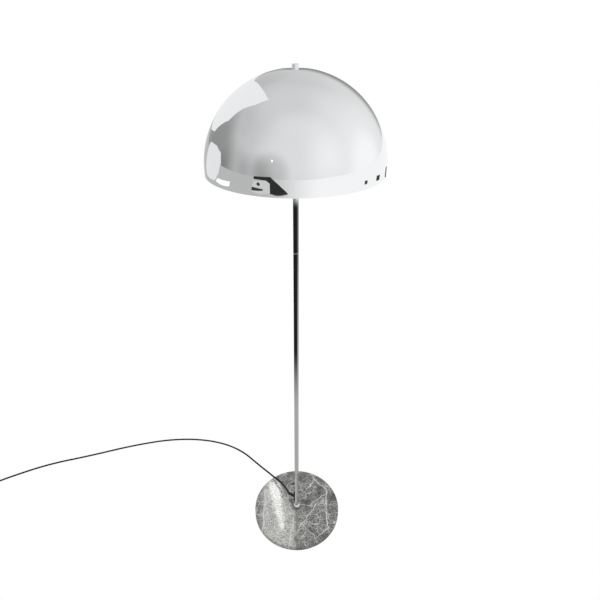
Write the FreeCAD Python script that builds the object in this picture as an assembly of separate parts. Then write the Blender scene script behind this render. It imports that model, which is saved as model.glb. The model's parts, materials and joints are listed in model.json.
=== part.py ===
import FreeCAD, Part
import math
import os

from FreeCAD import Rotation, Vector

# A standing lamp: a round marble base, a straight chromed stem, and a mirror-chromed dome shade
# over two bulbs, hung from a threaded rod by a knob on top. Millimetres, +Z up. The origin is on
# the floor, on the stem's axis. +Y is away from a person facing the lamp, -X is to the left.

# ---- overall sizes
lamp_height = 1496.0            # floor to the flat top of the dome
dome_diameter = 425.0
dome_crown_rise = 206.0         # curved part of the dome
dome_skirt_height = 11.0        # straight band at the rim
dome_wall = 1.0
dome_flat_radius = 30.0         # flat spot at the crown, where the dome is clamped
dome_hem_height = 6.0           # folded edge, twice the wall
base_diameter = 309.0
base_thickness = 20.0
base_edge_round = 1.5

# ---- stem
tube_diameter = 14.0
tube_wall = 1.0
upper_tube_length = 298.0       # from the seam up to the hub
collar_diameter = 22.0
collar_height = 9.0
collar_edge_round = 2.5
gasket_thickness = 1.0
insert_length = 24.0
joiner_ring_height = 2.0
joiner_spigot = 28.0            # length of each end inside a tube
tube_end_chamfer = 0.5

# ---- clearances
fit_gap = 0.05                  # radial, pieces seated in each other on one body
run_gap = 0.1                   # radial, a thread or shaft that turns
free_gap = 0.4                  # radial, around a piece that turns or slides clear
rest_gap = 0.3                  # between faces of different bodies that nearly touch

# ---- base fastening
pad_height = 3.0
pad_radius = 15.0
pad_circle_radius = 118.0
recess_radius = 22.0
recess_depth = 9.0
bolt_radius = 4.0
bolt_length = 30.0
bolt_head_flats = 13.0
bolt_head_height = 5.3
washer_radius = 18.0
washer_thickness = 2.0

# ---- threaded pipe, nuts, lead
pipe_radius = 5.0
pipe_bore_radius = 3.2
nut_flats = 14.0
nut_height = 4.0
lead_radius = 2.5               # cores inside the stem

# ---- hub and lampholders
hub_below_top = 121.0           # from the dome's top down to the bulbs' axis
hub_radius = 22.0
hub_height = 30.0
hub_wall = 1.5
hub_floor = 2.0
cover_thickness = 2.0
cover_lip_height = 4.0
cover_lip_wall = 1.4
cover_screw_radius = 1.5
cover_screw_length = 6.0
block_length = 20.0
block_width = 12.0
block_height = 9.0
holder_wall = 2.0
holder_stand_off = 4.0          # hub wall to the lampholder's back
holder_cap_length = 24.0
holder_skirt_length = 28.0
skirt_plug_wall = 3.7           # where the skirt screws into the cap
skirt_mouth_wall = 4.25
insert_margin = 1.8             # the ceramic insert beyond the brass sleeve
insert_disc_height = 8.0
sleeve_wall = 0.8
sleeve_length = 22.0
bulb_cap_radius = 13.0
bulb_cap_length = 21.0
bulb_radius = 30.0
bulb_glass_length = 80.0        # beyond the screw cap
glass_wall = 0.8

# ---- dome seat and knob
seat_disc_radius = 14.0
seat_disc_thickness = 2.0
seat_washer_thickness = 1.0
seat_nut_flats = 16.0
seat_nut_height = 5.0
top_washer_thickness = 0.8
knob_radius = 8.0
knob_height = 8.5
knob_edge_round = 1.5
knob_thread_depth = 6.0

# ---- cord
cord_diameter = 6.5
cord_exit_height = 75.0
cord_exit_angle = 152.0         # direction in plan that the cord leaves the stem, from +X
slot_height = 42.0
slot_margin = 0.55              # the stem's slot beyond the cord, each side
grommet_height = 48.0
grommet_lip = 1.2               # the grommet beyond the slot, each side
grommet_proud = 3.0
relief_length = 24.0
relief_big_wall = 1.75
relief_small_wall = 0.85
tie_wall = 1.0
tie_width = 10.0
coil_middle_radius = 36.0
coil_centre = (-1242.0, -40.0)
coil_tie_angle = 60.0

# ---- foot switch
switch_centre = (-1245.0, 50.0)
switch_heading = 240.0
switch_length = 72.0
switch_width = 36.0
switch_parting = 9.0
switch_height = 20.0
switch_wall = 1.8
switch_corner = 14.0
button_radius = 11.0
button_proud = 4.0
button_flange = 1.2
button_travel = 2.5
spring_closed = 3.1             # height of the spring with the button pressed
spring_radius = 5.0
spring_wire = 0.8
switch_screw_place = (22.0, 11.0)
switch_screw_radius = 1.5
switch_boss_radius = 3.5

# ---- plug
plug_entry = (-1186.0, -101.0)  # where the cord enters the boot
plug_heading = 340.0
plug_radius = 19.0
plug_face_length = 18.0
plug_grip_length = 22.0
plug_boot_length = 20.0
plug_neck_radius = 8.0
plug_grip_radius = 13.0
pin_radius = 2.4
pin_length = 19.0
pin_rooted = 10.0
pin_spacing = 19.0
earth_clip_width = 4.0
earth_clip_thickness = 1.0
earth_clip_depth = 2.2

# ---- worked out from the above
cord_radius = cord_diameter / 2
tube_radius = tube_diameter / 2
bore_radius = tube_radius - tube_wall
base_top = pad_height + base_thickness
stem_bottom = base_top + gasket_thickness
lamp_z = lamp_height - hub_below_top
hub_bottom = lamp_z - hub_height / 2
hub_top = hub_bottom + hub_height
seam_z = hub_bottom - upper_tube_length
dome_radius = dome_diameter / 2
dome_skirt_top = lamp_height - dome_crown_rise
dome_rim = dome_skirt_top - dome_skirt_height
sleeve_radius = bulb_cap_radius + free_gap + sleeve_wall
skirt_bore_radius = sleeve_radius + fit_gap
holder_radius = skirt_bore_radius + skirt_plug_wall + fit_gap + holder_wall
skirt_mouth_radius = skirt_bore_radius + skirt_mouth_wall
insert_disc_radius = sleeve_radius + insert_margin
slot_width = cord_diameter + 2 * slot_margin
grommet_width = slot_width + 2 * grommet_lip
relief_big_radius = cord_radius + relief_big_wall
relief_small_radius = cord_radius + relief_small_wall
plug_boot_radius = cord_radius + relief_big_wall
seat_washer_z = lamp_height - dome_wall - seat_washer_thickness
seat_disc_z = seat_washer_z - seat_disc_thickness
knob_z = lamp_height + top_washer_thickness

# The cord's route: x, y, and the height of its underside above the floor.
exit_angle = math.radians(cord_exit_angle)
exit_direction = Vector(math.cos(exit_angle), math.sin(exit_angle), 0)
cord_start = exit_direction * (bore_radius - 0.5)
cord_second = exit_direction * 30.0
exit_lift = cord_exit_height - cord_radius
cord_run_points = [
    (cord_start.x, cord_start.y, exit_lift),
    (cord_second.x, cord_second.y, exit_lift),
    (-38, 35, 67), (-47, 58, 57.5), (-60, 80, 47), (-75, 101, 38), (-91, 119, 31),
    (-108, 139, 25.5), (-128, 165, 14), (-151, 192, 5), (-179, 222, 0),
    (-222, 262, 0), (-281, 298, 0), (-352, 323, 0), (-430, 336, 0), (-512, 338, 0),
    (-595, 329, 0), (-677, 311, 0), (-757, 289, 0), (-836, 263, 0), (-916, 239, 0),
    (-997, 217, 0), (-1073, 188, 0), (-1140, 155, 0), (-1188, 128, 1.5),
]


def at_floor(points):
    """Route points at the cord's centre, from the heights of its underside."""
    return [Vector(x, y, lift + cord_radius) for x, y, lift in points]


def tube_along(points, radius):
    """A round tube along straight runs joined by tangent arcs, its radii and its length."""
    edges, radii, length = [], [], 0.0
    start = points[0]
    for before, corner, after in zip(points, points[1:], points[2:]):
        back, ahead = (before - corner), (after - corner)
        shorter = min(back.Length, ahead.Length)
        back.normalize()
        ahead.normalize()
        half_turn = (math.pi - back.getAngle(ahead)) / 2
        cut = 0.45 * shorter
        bend = cut / math.tan(half_turn)
        inward = (back + ahead).normalize()
        middle = corner + inward * (bend / math.cos(half_turn) - bend)
        first, last = corner + back * cut, corner + ahead * cut
        edges.append(Part.LineSegment(start, first).toShape())
        edges.append(Part.Arc(first, middle, last).toShape())
        radii.append(bend)
        start = last
    edges.append(Part.LineSegment(start, points[-1]).toShape())
    path = Part.Wire(edges)
    direction = points[1] - points[0]
    section = Part.Wire(Part.Circle(points[0], direction, radius).toShape())
    solid = path.makePipeShell([section], True, False)
    return solid, radii, path.Length


def cylinder(radius, low, high, x=0.0, y=0.0):
    return Part.makeCylinder(radius, high - low, Vector(x, y, low))


def ring(outer, inner, low, high):
    return cylinder(outer, low, high).cut(cylinder(inner, low - 1, high + 1))


def hexagon(flats, low, high):
    """A hexagonal prism about the Z axis."""
    corner = flats / math.sqrt(3)
    sixth = math.pi / 3
    points = [Vector(corner * math.cos(k * sixth), corner * math.sin(k * sixth), low) for k in range(7)]
    return Part.Face(Part.makePolygon(points)).extrude(Vector(0, 0, high - low))


def nut(flats, bore, low, high):
    return hexagon(flats, low, high).cut(cylinder(bore, low - 1, high + 1))


def turned(points):
    """A solid turned about the Z axis from an outline of (radius, height) points."""
    outline = [Vector(r, 0, z) for r, z in points]
    face = Part.Face(Part.makePolygon(outline + outline[:1]))
    return face.revolve(Vector(0, 0, 0), Vector(0, 0, 1), 360)


def rounded(solid, radius, wanted):
    """The solid with a fillet on each edge for which wanted(edge) is true."""
    return solid.makeFillet(radius, [e for e in solid.Edges if wanted(e)])


def level(z, radius):
    """Picks the circular edge at a height and a radius."""
    def wanted(edge):
        curve = edge.Curve
        if not isinstance(curve, Part.Circle):
            return False
        return abs(curve.Center.z - z) < 1e-4 and abs(curve.Radius - radius) < 1e-4
    return wanted


def write(name, solids):
    """One STEP file for one node: a single solid, or a group of alike ones."""
    shape = solids[0] if len(solids) == 1 else Part.makeCompound(solids)
    shape.exportStep(os.path.join("parts", name + ".step"))
    print(f"{name}: {len(solids)} solid(s), {shape.Volume / 1000:.2f} cm3, valid {shape.isValid()}")


# ---- base

def foot_pads():
    pads = []
    for k in range(4):
        angle = math.radians(45 + 90 * k)
        x, y = pad_circle_radius * math.cos(angle), pad_circle_radius * math.sin(angle)
        pads.append(cylinder(pad_radius, 0, pad_height, x, y))
    return pads


def marble_base():
    radius = base_diameter / 2
    slab = cylinder(radius, pad_height, base_top)
    slab = rounded(slab, base_edge_round, lambda e: isinstance(e.Curve, Part.Circle))
    slab = slab.cut(cylinder(recess_radius, pad_height - 1, pad_height + recess_depth))
    return slab.cut(cylinder(bolt_radius + free_gap, pad_height, base_top + 1))


def base_washer():
    top = pad_height + recess_depth
    return ring(washer_radius, bolt_radius + fit_gap, top - washer_thickness, top)


def base_bolt():
    under_head = pad_height + recess_depth - washer_thickness
    head = hexagon(bolt_head_flats, under_head - bolt_head_height, under_head)
    return head.fuse(cylinder(bolt_radius, under_head - 1, under_head + bolt_length)).removeSplitter()


def foot_gasket():
    return ring(collar_diameter / 2 - 0.5, bolt_radius + fit_gap, base_top, stem_bottom)


def foot_collar():
    outer = collar_diameter / 2
    top = stem_bottom + collar_height
    body = rounded(cylinder(outer, stem_bottom, top), collar_edge_round, level(top, outer))
    return body.cut(cylinder(tube_radius + fit_gap, stem_bottom - 1, top + 1))


def foot_insert():
    return ring(bore_radius - fit_gap, bolt_radius + fit_gap, stem_bottom, stem_bottom + insert_length)


# ---- stem

def slot_block(width, height, inner, outer):
    """A block with rounded ends, standing across the stem wall where the cord comes out."""
    half = (height - width) / 2
    middle = Part.makeBox(outer - inner, width, height - width, Vector(inner, -width / 2, -half))
    ends = [Part.makeCylinder(width / 2, outer - inner, Vector(inner, 0, z), Vector(1, 0, 0))
            for z in (half, -half)]
    block = middle.fuse(ends).removeSplitter()
    block.rotate(Vector(0, 0, 0), Vector(0, 0, 1), cord_exit_angle)
    block.translate(Vector(0, 0, cord_exit_height))
    return block


def along_exit(radius, near, far):
    """A round bar along the cord's first stretch."""
    start = exit_direction * near + Vector(0, 0, cord_exit_height)
    return Part.makeCylinder(radius, far - near, start, exit_direction)


def lower_tube():
    tube = ring(tube_radius, bore_radius, stem_bottom, seam_z)
    tube = tube.makeChamfer(tube_end_chamfer, [e for e in tube.Edges if level(seam_z, tube_radius)(e)])
    return tube.cut(slot_block(slot_width, slot_height, bore_radius / 2, tube_radius + 1))


def upper_tube():
    low = seam_z + joiner_ring_height
    tube = ring(tube_radius, bore_radius, low, hub_bottom)
    return tube.makeChamfer(tube_end_chamfer, [e for e in tube.Edges if level(low, tube_radius)(e)])


def stem_joiner():
    spigot = bore_radius - fit_gap
    top = seam_z + joiner_ring_height
    low, high = seam_z - joiner_spigot, top + joiner_spigot
    body = cylinder(spigot, low, high).fuse(cylinder(tube_radius, seam_z, top)).removeSplitter()
    return body.cut(cylinder(pipe_bore_radius, low - 1, high + 1))


def cord_grommet():
    gap = 2 * fit_gap
    neck = slot_block(slot_width - gap, slot_height - gap, bore_radius - 0.5, tube_radius + 1)
    flange = slot_block(grommet_width, grommet_height, 2.0, tube_radius + grommet_proud)
    flange = flange.cut(cylinder(tube_radius + fit_gap, 0, lamp_height))
    body = neck.fuse(flange).removeSplitter()
    return body.cut(along_exit(cord_radius + fit_gap, 0, tube_radius + grommet_proud + 1))


def strain_relief():
    near = tube_radius + grommet_proud
    base = exit_direction * near + Vector(0, 0, cord_exit_height)
    boot = Part.makeCone(relief_big_radius, relief_small_radius, relief_length, base, exit_direction)
    grooves = [along_exit(relief_big_radius + 1, near + s, near + s + 1.2).cut(
        along_exit(cord_radius + 0.5, near + s - 1, near + s + 3)) for s in (7, 11, 15)]
    boot = boot.cut(Part.makeCompound(grooves))
    # The bore widens a little towards its mouth, so that the cord can start to bend inside it.
    bore = cord_radius + fit_gap
    mouth = Part.makeCone(bore, relief_small_radius - 0.3, relief_length, base, exit_direction)
    return boot.cut(mouth).cut(along_exit(bore, near - 1, near + relief_length + 1))


def inner_lead():
    """The cores inside the stem: they turn up from the slot in a quarter circle and run up to the hub."""
    bend = cord_start.Length
    centre = exit_direction * bend + Vector(0, 0, cord_exit_height + bend)
    start = centre - Vector(0, 0, bend)
    middle = centre - (exit_direction + Vector(0, 0, 1)) * (bend / math.sqrt(2))
    end = centre - exit_direction * bend
    top = Vector(0, 0, lamp_z - block_height / 2)
    path = Part.Wire([Part.Arc(start, middle, end).toShape(), Part.LineSegment(end, top).toShape()])
    section = Part.Wire(Part.Circle(start, exit_direction, lead_radius).toShape())
    return path.makePipeShell([section], True, False)


# ---- head

def stem_insert():
    top = hub_bottom
    return ring(bore_radius - fit_gap, pipe_radius + fit_gap, top - insert_length, top)


def stem_nipple():
    top = hub_bottom + hub_floor + nut_height + 2
    return ring(pipe_radius, pipe_bore_radius, hub_bottom - insert_length + 4, top)


def nipple_nut():
    low = hub_bottom + hub_floor
    return nut(nut_flats, pipe_radius + fit_gap, low, low + nut_height)


def hub_cup():
    cup = cylinder(hub_radius, hub_bottom, hub_top)
    cup = rounded(cup, 3.0, level(hub_bottom, hub_radius))
    cup = cup.cut(cylinder(hub_radius - hub_wall, hub_bottom + hub_floor + 2, hub_top + 1))
    cup = cup.cut(cylinder(hub_radius - hub_wall - 2, hub_bottom + hub_floor, hub_top + 1))
    cup = cup.cut(cylinder(pipe_radius + fit_gap, hub_bottom - 1, hub_bottom + hub_floor + 1))
    across = Vector(-1.5 * hub_radius, 0, lamp_z)
    side = Part.makeCylinder(pipe_radius + fit_gap, 3 * hub_radius, across, Vector(1, 0, 0))
    return cup.cut(side).cut(Part.makeCompound(cover_screws(fit_gap)))


def hub_cover():
    lip_outer = hub_radius - hub_wall - fit_gap
    top = hub_top + cover_thickness
    disc = rounded(cylinder(hub_radius, hub_top, top), 1.2, level(top, hub_radius))
    cover = disc.fuse(ring(lip_outer, lip_outer - cover_lip_wall, hub_top - cover_lip_height, hub_top))
    cover = cover.removeSplitter().cut(cylinder(pipe_radius + fit_gap, hub_top - 1, top + 1))
    return cover.cut(Part.makeCompound(cover_screws(fit_gap)))


def cover_screws(gap=0.0):
    """Small screws in from the side through the cup's wall into the cover's lip."""
    height = hub_top - cover_lip_height / 2
    screws = []
    for k in range(3):
        angle = math.radians(90 + 120 * k)
        outward = Vector(math.cos(angle), math.sin(angle), 0)
        up = Vector(0, 0, height)
        tip = outward * (hub_radius + 1.2 - cover_screw_length) + up
        shank = Part.makeCylinder(cover_screw_radius * 0.8 + gap, cover_screw_length, tip, outward)
        head = Part.makeCylinder(cover_screw_radius + gap, 1.0, outward * (hub_radius + 0.2) + up, outward)
        screws.append(shank.fuse(head).removeSplitter())
    return screws


def terminal_block():
    low = lamp_z - block_height / 2
    corner = Vector(-block_length / 2, -block_width / 2, low)
    block = Part.makeBox(block_length, block_width, block_height, corner)
    wells = [cylinder(2.0, low + block_height - 3, low + block_height + 1, x, y)
             for x in (-6, 0, 6) for y in (-3, 3)]
    return block.cut(Part.makeCompound(wells))


def dome_rod():
    return cylinder(pipe_radius, hub_top - cover_lip_height - 2, knob_z + knob_thread_depth - 0.5)


def rod_nuts():
    above = hub_top + cover_thickness
    return [nut(nut_flats, pipe_radius + fit_gap, hub_top - nut_height, hub_top),
            nut(nut_flats, pipe_radius + fit_gap, above, above + nut_height)]


def seat_nut():
    return nut(seat_nut_flats, pipe_radius + fit_gap, seat_disc_z - seat_nut_height, seat_disc_z)


def seat_disc():
    return ring(seat_disc_radius, pipe_radius + fit_gap, seat_disc_z, seat_washer_z)


def seat_washer():
    top = seat_washer_z + seat_washer_thickness
    return ring(seat_disc_radius - 0.5, pipe_radius + fit_gap, seat_washer_z, top)


def dome_shade():
    """The shade: a skirt and hem below a spun crown, turned about the stem's axis."""
    rise = dome_crown_rise / math.sqrt(1 - (dome_flat_radius / dome_radius) ** 2)
    hole = pipe_radius + rest_gap
    hem = dome_radius - 2 * dome_wall

    def crown(inset):
        """A stretch of an ellipse, from the skirt's top up to the flat spot."""
        centre = Vector(0, 0, dome_skirt_top)
        side = centre + Vector(dome_radius - inset, 0, 0)
        ellipse = Part.Ellipse(side, centre + Vector(0, 0, rise - inset), centre)
        end = math.asin((dome_crown_rise - inset) / (rise - inset))
        return Part.ArcOfEllipse(ellipse, 0, end)

    def line(*points):
        return [Part.LineSegment(a, b).toShape() for a, b in zip(points, points[1:])]

    rim_round = dome_wall - 0.05
    outer, inner = crown(0), crown(dome_wall)
    edges = line(Vector(hole, 0, lamp_height), outer.EndPoint)
    edges.append(outer.toShape())
    edges += line(outer.StartPoint, Vector(dome_radius, 0, dome_rim + rim_round))
    edges.append(Part.Arc(Vector(dome_radius, 0, dome_rim + rim_round),
                          Vector(dome_radius - dome_wall, 0, dome_rim),
                          Vector(hem, 0, dome_rim + rim_round)).toShape())
    edges += line(Vector(hem, 0, dome_rim + rim_round), Vector(hem, 0, dome_rim + dome_hem_height),
                  Vector(dome_radius - dome_wall, 0, dome_rim + dome_hem_height), inner.StartPoint)
    edges.append(inner.toShape())
    edges += line(inner.EndPoint, Vector(hole, 0, lamp_height - dome_wall), Vector(hole, 0, lamp_height))
    face = Part.Face(Part.Wire(Part.__sortEdges__(edges)))
    return face.revolve(Vector(0, 0, 0), Vector(0, 0, 1), 360)


def top_washer():
    return ring(knob_radius - 0.5, pipe_radius + run_gap, lamp_height, knob_z)


def top_knob():
    top = knob_z + knob_height
    body = rounded(cylinder(knob_radius, knob_z, top), knob_edge_round, level(top, knob_radius))
    body = rounded(body, 0.5, level(knob_z, knob_radius))
    return body.cut(cylinder(pipe_radius + run_gap, knob_z - 1, knob_z + knob_thread_depth))


# ---- lampholders: each is built along +Z from the hub's wall and then laid outwards

def arm_nipple():
    return ring(pipe_radius, pipe_bore_radius, -5 - nut_height, holder_stand_off + 6)


def arm_nuts():
    # The inner nut stands in from the hub's round wall, so that its corners clear the wall.
    corner = nut_flats / math.sqrt(3)
    face = hub_radius - math.sqrt((hub_radius - hub_wall) ** 2 - corner ** 2) + fit_gap
    inside = nut(nut_flats, pipe_radius + fit_gap, -face - nut_height, -face)
    low = holder_stand_off + holder_wall + 0.5
    return inside, nut(nut_flats, pipe_radius + fit_gap, low, low + 2.5)


def holder_cap():
    low, high = holder_stand_off, holder_stand_off + holder_cap_length
    cap = rounded(cylinder(holder_radius, low, high), 5.0, level(low, holder_radius))
    cap = cap.cut(cylinder(holder_radius - holder_wall - 3, low + holder_wall + 0.5, high + 1))
    cap = cap.cut(cylinder(holder_radius - holder_wall, low + 6, high + 1))
    return cap.cut(cylinder(pipe_radius + fit_gap, low - 1, low + 4))


def holder_insert():
    low = holder_stand_off + holder_cap_length - 12
    return ring(insert_disc_radius, 2.0, low, low + insert_disc_height)


def sleeve_low():
    return holder_stand_off + holder_cap_length - 12 + insert_disc_height


def holder_contact():
    low = sleeve_low()
    return cylinder(4.0, low, low + 1.5).fuse(cylinder(2.0 - fit_gap, low - 5, low)).removeSplitter()


def holder_sleeve():
    low = sleeve_low()
    return ring(sleeve_radius, sleeve_radius - sleeve_wall, low, low + sleeve_length)


def holder_skirt():
    low = holder_stand_off + holder_cap_length
    plug = holder_radius - holder_wall - fit_gap
    bore = skirt_bore_radius
    high = low + holder_skirt_length
    mouth = skirt_mouth_radius
    outline = [(bore, low - 4), (plug, low - 4), (plug, low), (holder_radius, low), (holder_radius, low + 5),
               (mouth, low + 7), (mouth, high), (mouth - holder_wall, high),
               (mouth - holder_wall, low + 12), (bore, low + 12)]
    return turned(outline)


def bulb_low():
    return sleeve_low() + 1.5 + rest_gap


def bulb_cap():
    low, r = bulb_low(), bulb_cap_radius
    outline = [(0, low), (4, low), (4, low + 1), (9.5, low + 3), (r, low + 4), (r, low + bulb_cap_length),
               (r - 0.4, low + bulb_cap_length), (r - 0.4, low + 5), (0, low + 5)]
    return turned(outline)


def bulb_glass():
    """The bulb's envelope: a neck that swells into a ball, open where the screw cap takes it."""
    low = bulb_low() + bulb_cap_length - 6
    length = bulb_glass_length + 6
    ball_z = low + length - bulb_radius
    neck = bulb_cap_radius - 0.4 - fit_gap

    def outline(neck_r, ball_r):
        def on_ball(degrees):
            angle = math.radians(degrees)
            return Vector(ball_r * math.cos(angle), 0, ball_z + ball_r * math.sin(angle))

        join, side = on_ball(-32), on_ball(30)
        tip = Vector(0, 0, ball_z + ball_r)
        curve = Part.BSplineCurve()
        foot = Vector(neck_r, 0, low + 8)
        slope = Vector(math.cos(math.radians(58)), 0, math.sin(math.radians(58)))
        curve.interpolate(Points=[foot, join], InitialTangent=Vector(0, 0, 40), FinalTangent=slope * 40)
        return foot, [curve.toShape(), Part.Arc(join, side, tip).toShape()], tip

    foot, outer, tip = outline(neck, bulb_radius)
    inner_foot, inner, inner_tip = outline(neck - glass_wall, bulb_radius - glass_wall)
    low_outer, low_inner = Vector(neck, 0, low), Vector(neck - glass_wall, 0, low)
    edges = [Part.LineSegment(low_outer, foot).toShape()] + outer
    edges += [Part.LineSegment(tip, inner_tip).toShape()] + inner[::-1]
    edges.append(Part.LineSegment(inner_foot, low_inner).toShape())
    edges.append(Part.LineSegment(low_inner, low_outer).toShape())
    face = Part.Face(Part.Wire(Part.__sortEdges__(edges)))
    return face.revolve(Vector(0, 0, 0), Vector(0, 0, 1), 360)


def laid_out(shape, side):
    """Lays a piece that was built along +Z out to the right (side 1) or to the left (side -1)."""
    piece = shape.copy()
    piece.rotate(Vector(0, 0, 0), Vector(0, 1, 0), 90)
    piece.translate(Vector(hub_radius, 0, lamp_z))
    if side < 0:
        piece.rotate(Vector(0, 0, 0), Vector(0, 0, 1), 180)
    return piece


# ---- foot switch and plug: each is built along +X and then laid on the floor

def on_floor(shape, place, heading):
    piece = shape.copy()
    piece.rotate(Vector(0, 0, 0), Vector(0, 0, 1), heading)
    piece.translate(Vector(place[0], place[1], 0))
    return piece


def floor_point(place, heading, along):
    angle = math.radians(heading)
    return place[0] + along * math.cos(angle), place[1] + along * math.sin(angle)


def switch_block(inset, low, high):
    """A slab with the switch's round-cornered outline, drawn in by inset."""
    length, width = switch_length - 2 * inset, switch_width - 2 * inset
    corner = switch_corner - inset
    slab = Part.makeBox(length, width, high - low, Vector(-length / 2, -width / 2, low))
    return slab.makeFillet(corner, [e for e in slab.Edges if abs(e.tangentAt(e.FirstParameter).z) > 0.9])


def cord_holes():
    hole = cord_radius + fit_gap
    start = Vector(-switch_length, 0, switch_parting)
    return Part.makeCylinder(hole, 2 * switch_length, start, Vector(1, 0, 0))


def switch_posts(radius, low, high):
    x, y = switch_screw_place
    return Part.makeCompound([cylinder(radius, low, high, x, y), cylinder(radius, low, high, -x, -y)])


def switch_base():
    shell = rounded(switch_block(0, 0, switch_parting), 1.5, lambda e: e.BoundBox.ZMax < 0.01)
    shell = shell.cut(switch_block(switch_wall, switch_wall, switch_parting + 1))
    shell = shell.fuse(switch_posts(switch_boss_radius, 1, switch_parting)).removeSplitter()
    shell = shell.cut(cord_holes())
    return shell.cut(Part.makeCompound(switch_screws(fit_gap)))


def switch_cover():
    top = switch_height
    shell = rounded(switch_block(0, switch_parting, top), 4.0, lambda e: e.BoundBox.ZMin > top - 0.01)
    shell = shell.cut(switch_block(switch_wall, switch_parting - 1, top - switch_wall))
    shell = shell.fuse(switch_posts(switch_boss_radius, switch_parting, top - 1)).removeSplitter()
    shell = shell.cut(cylinder(button_radius + free_gap, switch_parting, top + 1)).cut(cord_holes())
    return shell.cut(Part.makeCompound(switch_screws(fit_gap)))


def switch_screws(gap=0.0):
    x, y = switch_screw_place
    screws = []
    for sx, sy in ((x, y), (-x, -y)):
        head = cylinder(2.8 + gap, 0.4 if not gap else -1, 2.2, sx, sy)
        screws.append(head.fuse(cylinder(switch_screw_radius + gap, 2, 15, sx, sy)).removeSplitter())
    return screws


def button_low():
    return switch_height - switch_wall - rest_gap - button_flange


def switch_button():
    """A round push button with a flange that keeps it under the cover."""
    top = switch_height + button_proud
    low = button_low()
    flange = cylinder(button_radius + 1.5, low, low + button_flange)
    crown = rounded(cylinder(button_radius, low, top), 2.0, level(top, button_radius))
    return flange.fuse(crown).removeSplitter()


def contact_top():
    return button_low() - button_travel - spring_closed


def contact_block():
    return Part.makeBox(26, 14, contact_top() - switch_wall, Vector(-13, -7, switch_wall))


def switch_spring():
    """The return spring between the contact block and the button."""
    low, high = contact_top() + spring_wire / 2 + fit_gap, button_low() - spring_wire / 2 - fit_gap
    turns = 3.0
    helix = Part.makeHelix((high - low) / turns, high - low, spring_radius)
    helix.translate(Vector(0, 0, low))
    wire = Part.Wire(helix.Edges)
    start = wire.Edges[0].valueAt(wire.Edges[0].FirstParameter)
    direction = wire.Edges[0].tangentAt(wire.Edges[0].FirstParameter)
    section = Part.Wire(Part.Circle(start, direction, spring_wire / 2).toShape())
    return wire.makePipeShell([section], True, True)


def lying(shape):
    """Turns a piece that was built along +Z so that it lies along +X, with its axis at the plug's radius."""
    piece = shape.copy()
    piece.rotate(Vector(0, 0, 0), Vector(0, 1, 0), 90)
    piece.translate(Vector(0, 0, plug_radius))
    return piece


def plug_front():
    return plug_boot_length + plug_grip_length + plug_face_length


def plug_pins(gap=0.0):
    low, high = plug_front() - pin_rooted, plug_front() + pin_length
    pins = []
    for y in (-pin_spacing / 2, pin_spacing / 2):
        pin = cylinder(pin_radius + gap, low - gap, high, 0, y)
        pins.append(pin if gap else rounded(pin, 1.4, level(high, pin_radius)))
    return pins


def earth_clips():
    low, high = plug_front() - plug_face_length + 2, plug_front()
    return [Part.makeBox(earth_clip_thickness, earth_clip_width, high - low,
                         Vector(x if x > 0 else x - earth_clip_thickness, -earth_clip_width / 2, low))
            for x in (plug_radius - earth_clip_depth, -plug_radius + earth_clip_depth)]


def plug_body():
    front = plug_front()
    grip = plug_boot_length + plug_grip_length
    outline = [(0, 0), (plug_boot_radius, 0), (plug_neck_radius, plug_boot_length), (plug_grip_radius, grip),
               (plug_radius - 1.5, grip + 0.5), (plug_radius, grip + 2), (plug_radius, front - 1),
               (plug_radius - 1, front), (0, front)]
    body = turned(outline).cut(cylinder(cord_radius + fit_gap, -1, plug_boot_length - 4))
    notches = [Part.makeBox(plug_radius, earth_clip_width + 3, plug_face_length,
                            Vector(x if x > 0 else x - plug_radius, -earth_clip_width / 2 - 1.5, grip + 2))
               for x in (plug_radius - earth_clip_depth, -plug_radius + earth_clip_depth)]
    body = body.cut(Part.makeCompound(notches))
    body = body.cut(Part.makeCompound(plug_pins(fit_gap)))
    return body


# ---- cord

def switch_end(sign, along):
    """A point of the cord's route in line with the foot switch, at its parting line."""
    x, y = floor_point(switch_centre, switch_heading, sign * along)
    return x, y, switch_parting - cord_radius


def coil_point(angle, radius, lift):
    a = math.radians(angle)
    return coil_centre[0] + radius * math.cos(a), coil_centre[1] + radius * math.sin(a), lift


def route_run():
    return at_floor(cord_run_points + [switch_end(-1, 64), switch_end(-1, 28)])


def route_middle():
    outer_turn = coil_middle_radius + cord_radius
    return at_floor([switch_end(1, 28), switch_end(1, 58), (-1283, -26.5, tie_wall),
                     coil_point(196, outer_turn, tie_wall)])


def route_end():
    boot = floor_point(plug_entry, plug_heading, plug_boot_length - 6)
    before = floor_point(plug_entry, plug_heading, -24)
    lift = plug_radius - cord_radius
    inner_turn = coil_middle_radius - cord_radius
    leaving = coil_point(222, inner_turn, tie_wall + 1.5)
    rising = coil_point(262, inner_turn + 3, tie_wall + 8)
    return at_floor([leaving, rising, (before[0], before[1], lift), (boot[0], boot[1], lift)])


def cord_piece(name, points):
    solid, radii, length = tube_along(points, cord_radius)
    expected = math.pi * cord_radius ** 2 * length
    low = solid.optimalBoundingBox().ZMin
    print(f"{name}: length {length:.0f}, volume / (section x length) {solid.Volume / expected:.4f}")
    print(f"{name}: lowest {low:.3f}, radii {[round(r) for r in radii]}")
    return solid, length


def cord_coil():
    outer, inner = coil_middle_radius + cord_diameter, coil_middle_radius - cord_diameter
    low = tie_wall
    body = cylinder(outer, low, low + cord_diameter, *coil_centre)
    return body.cut(cylinder(inner, low - 1, low + cord_diameter + 1, *coil_centre))


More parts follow.
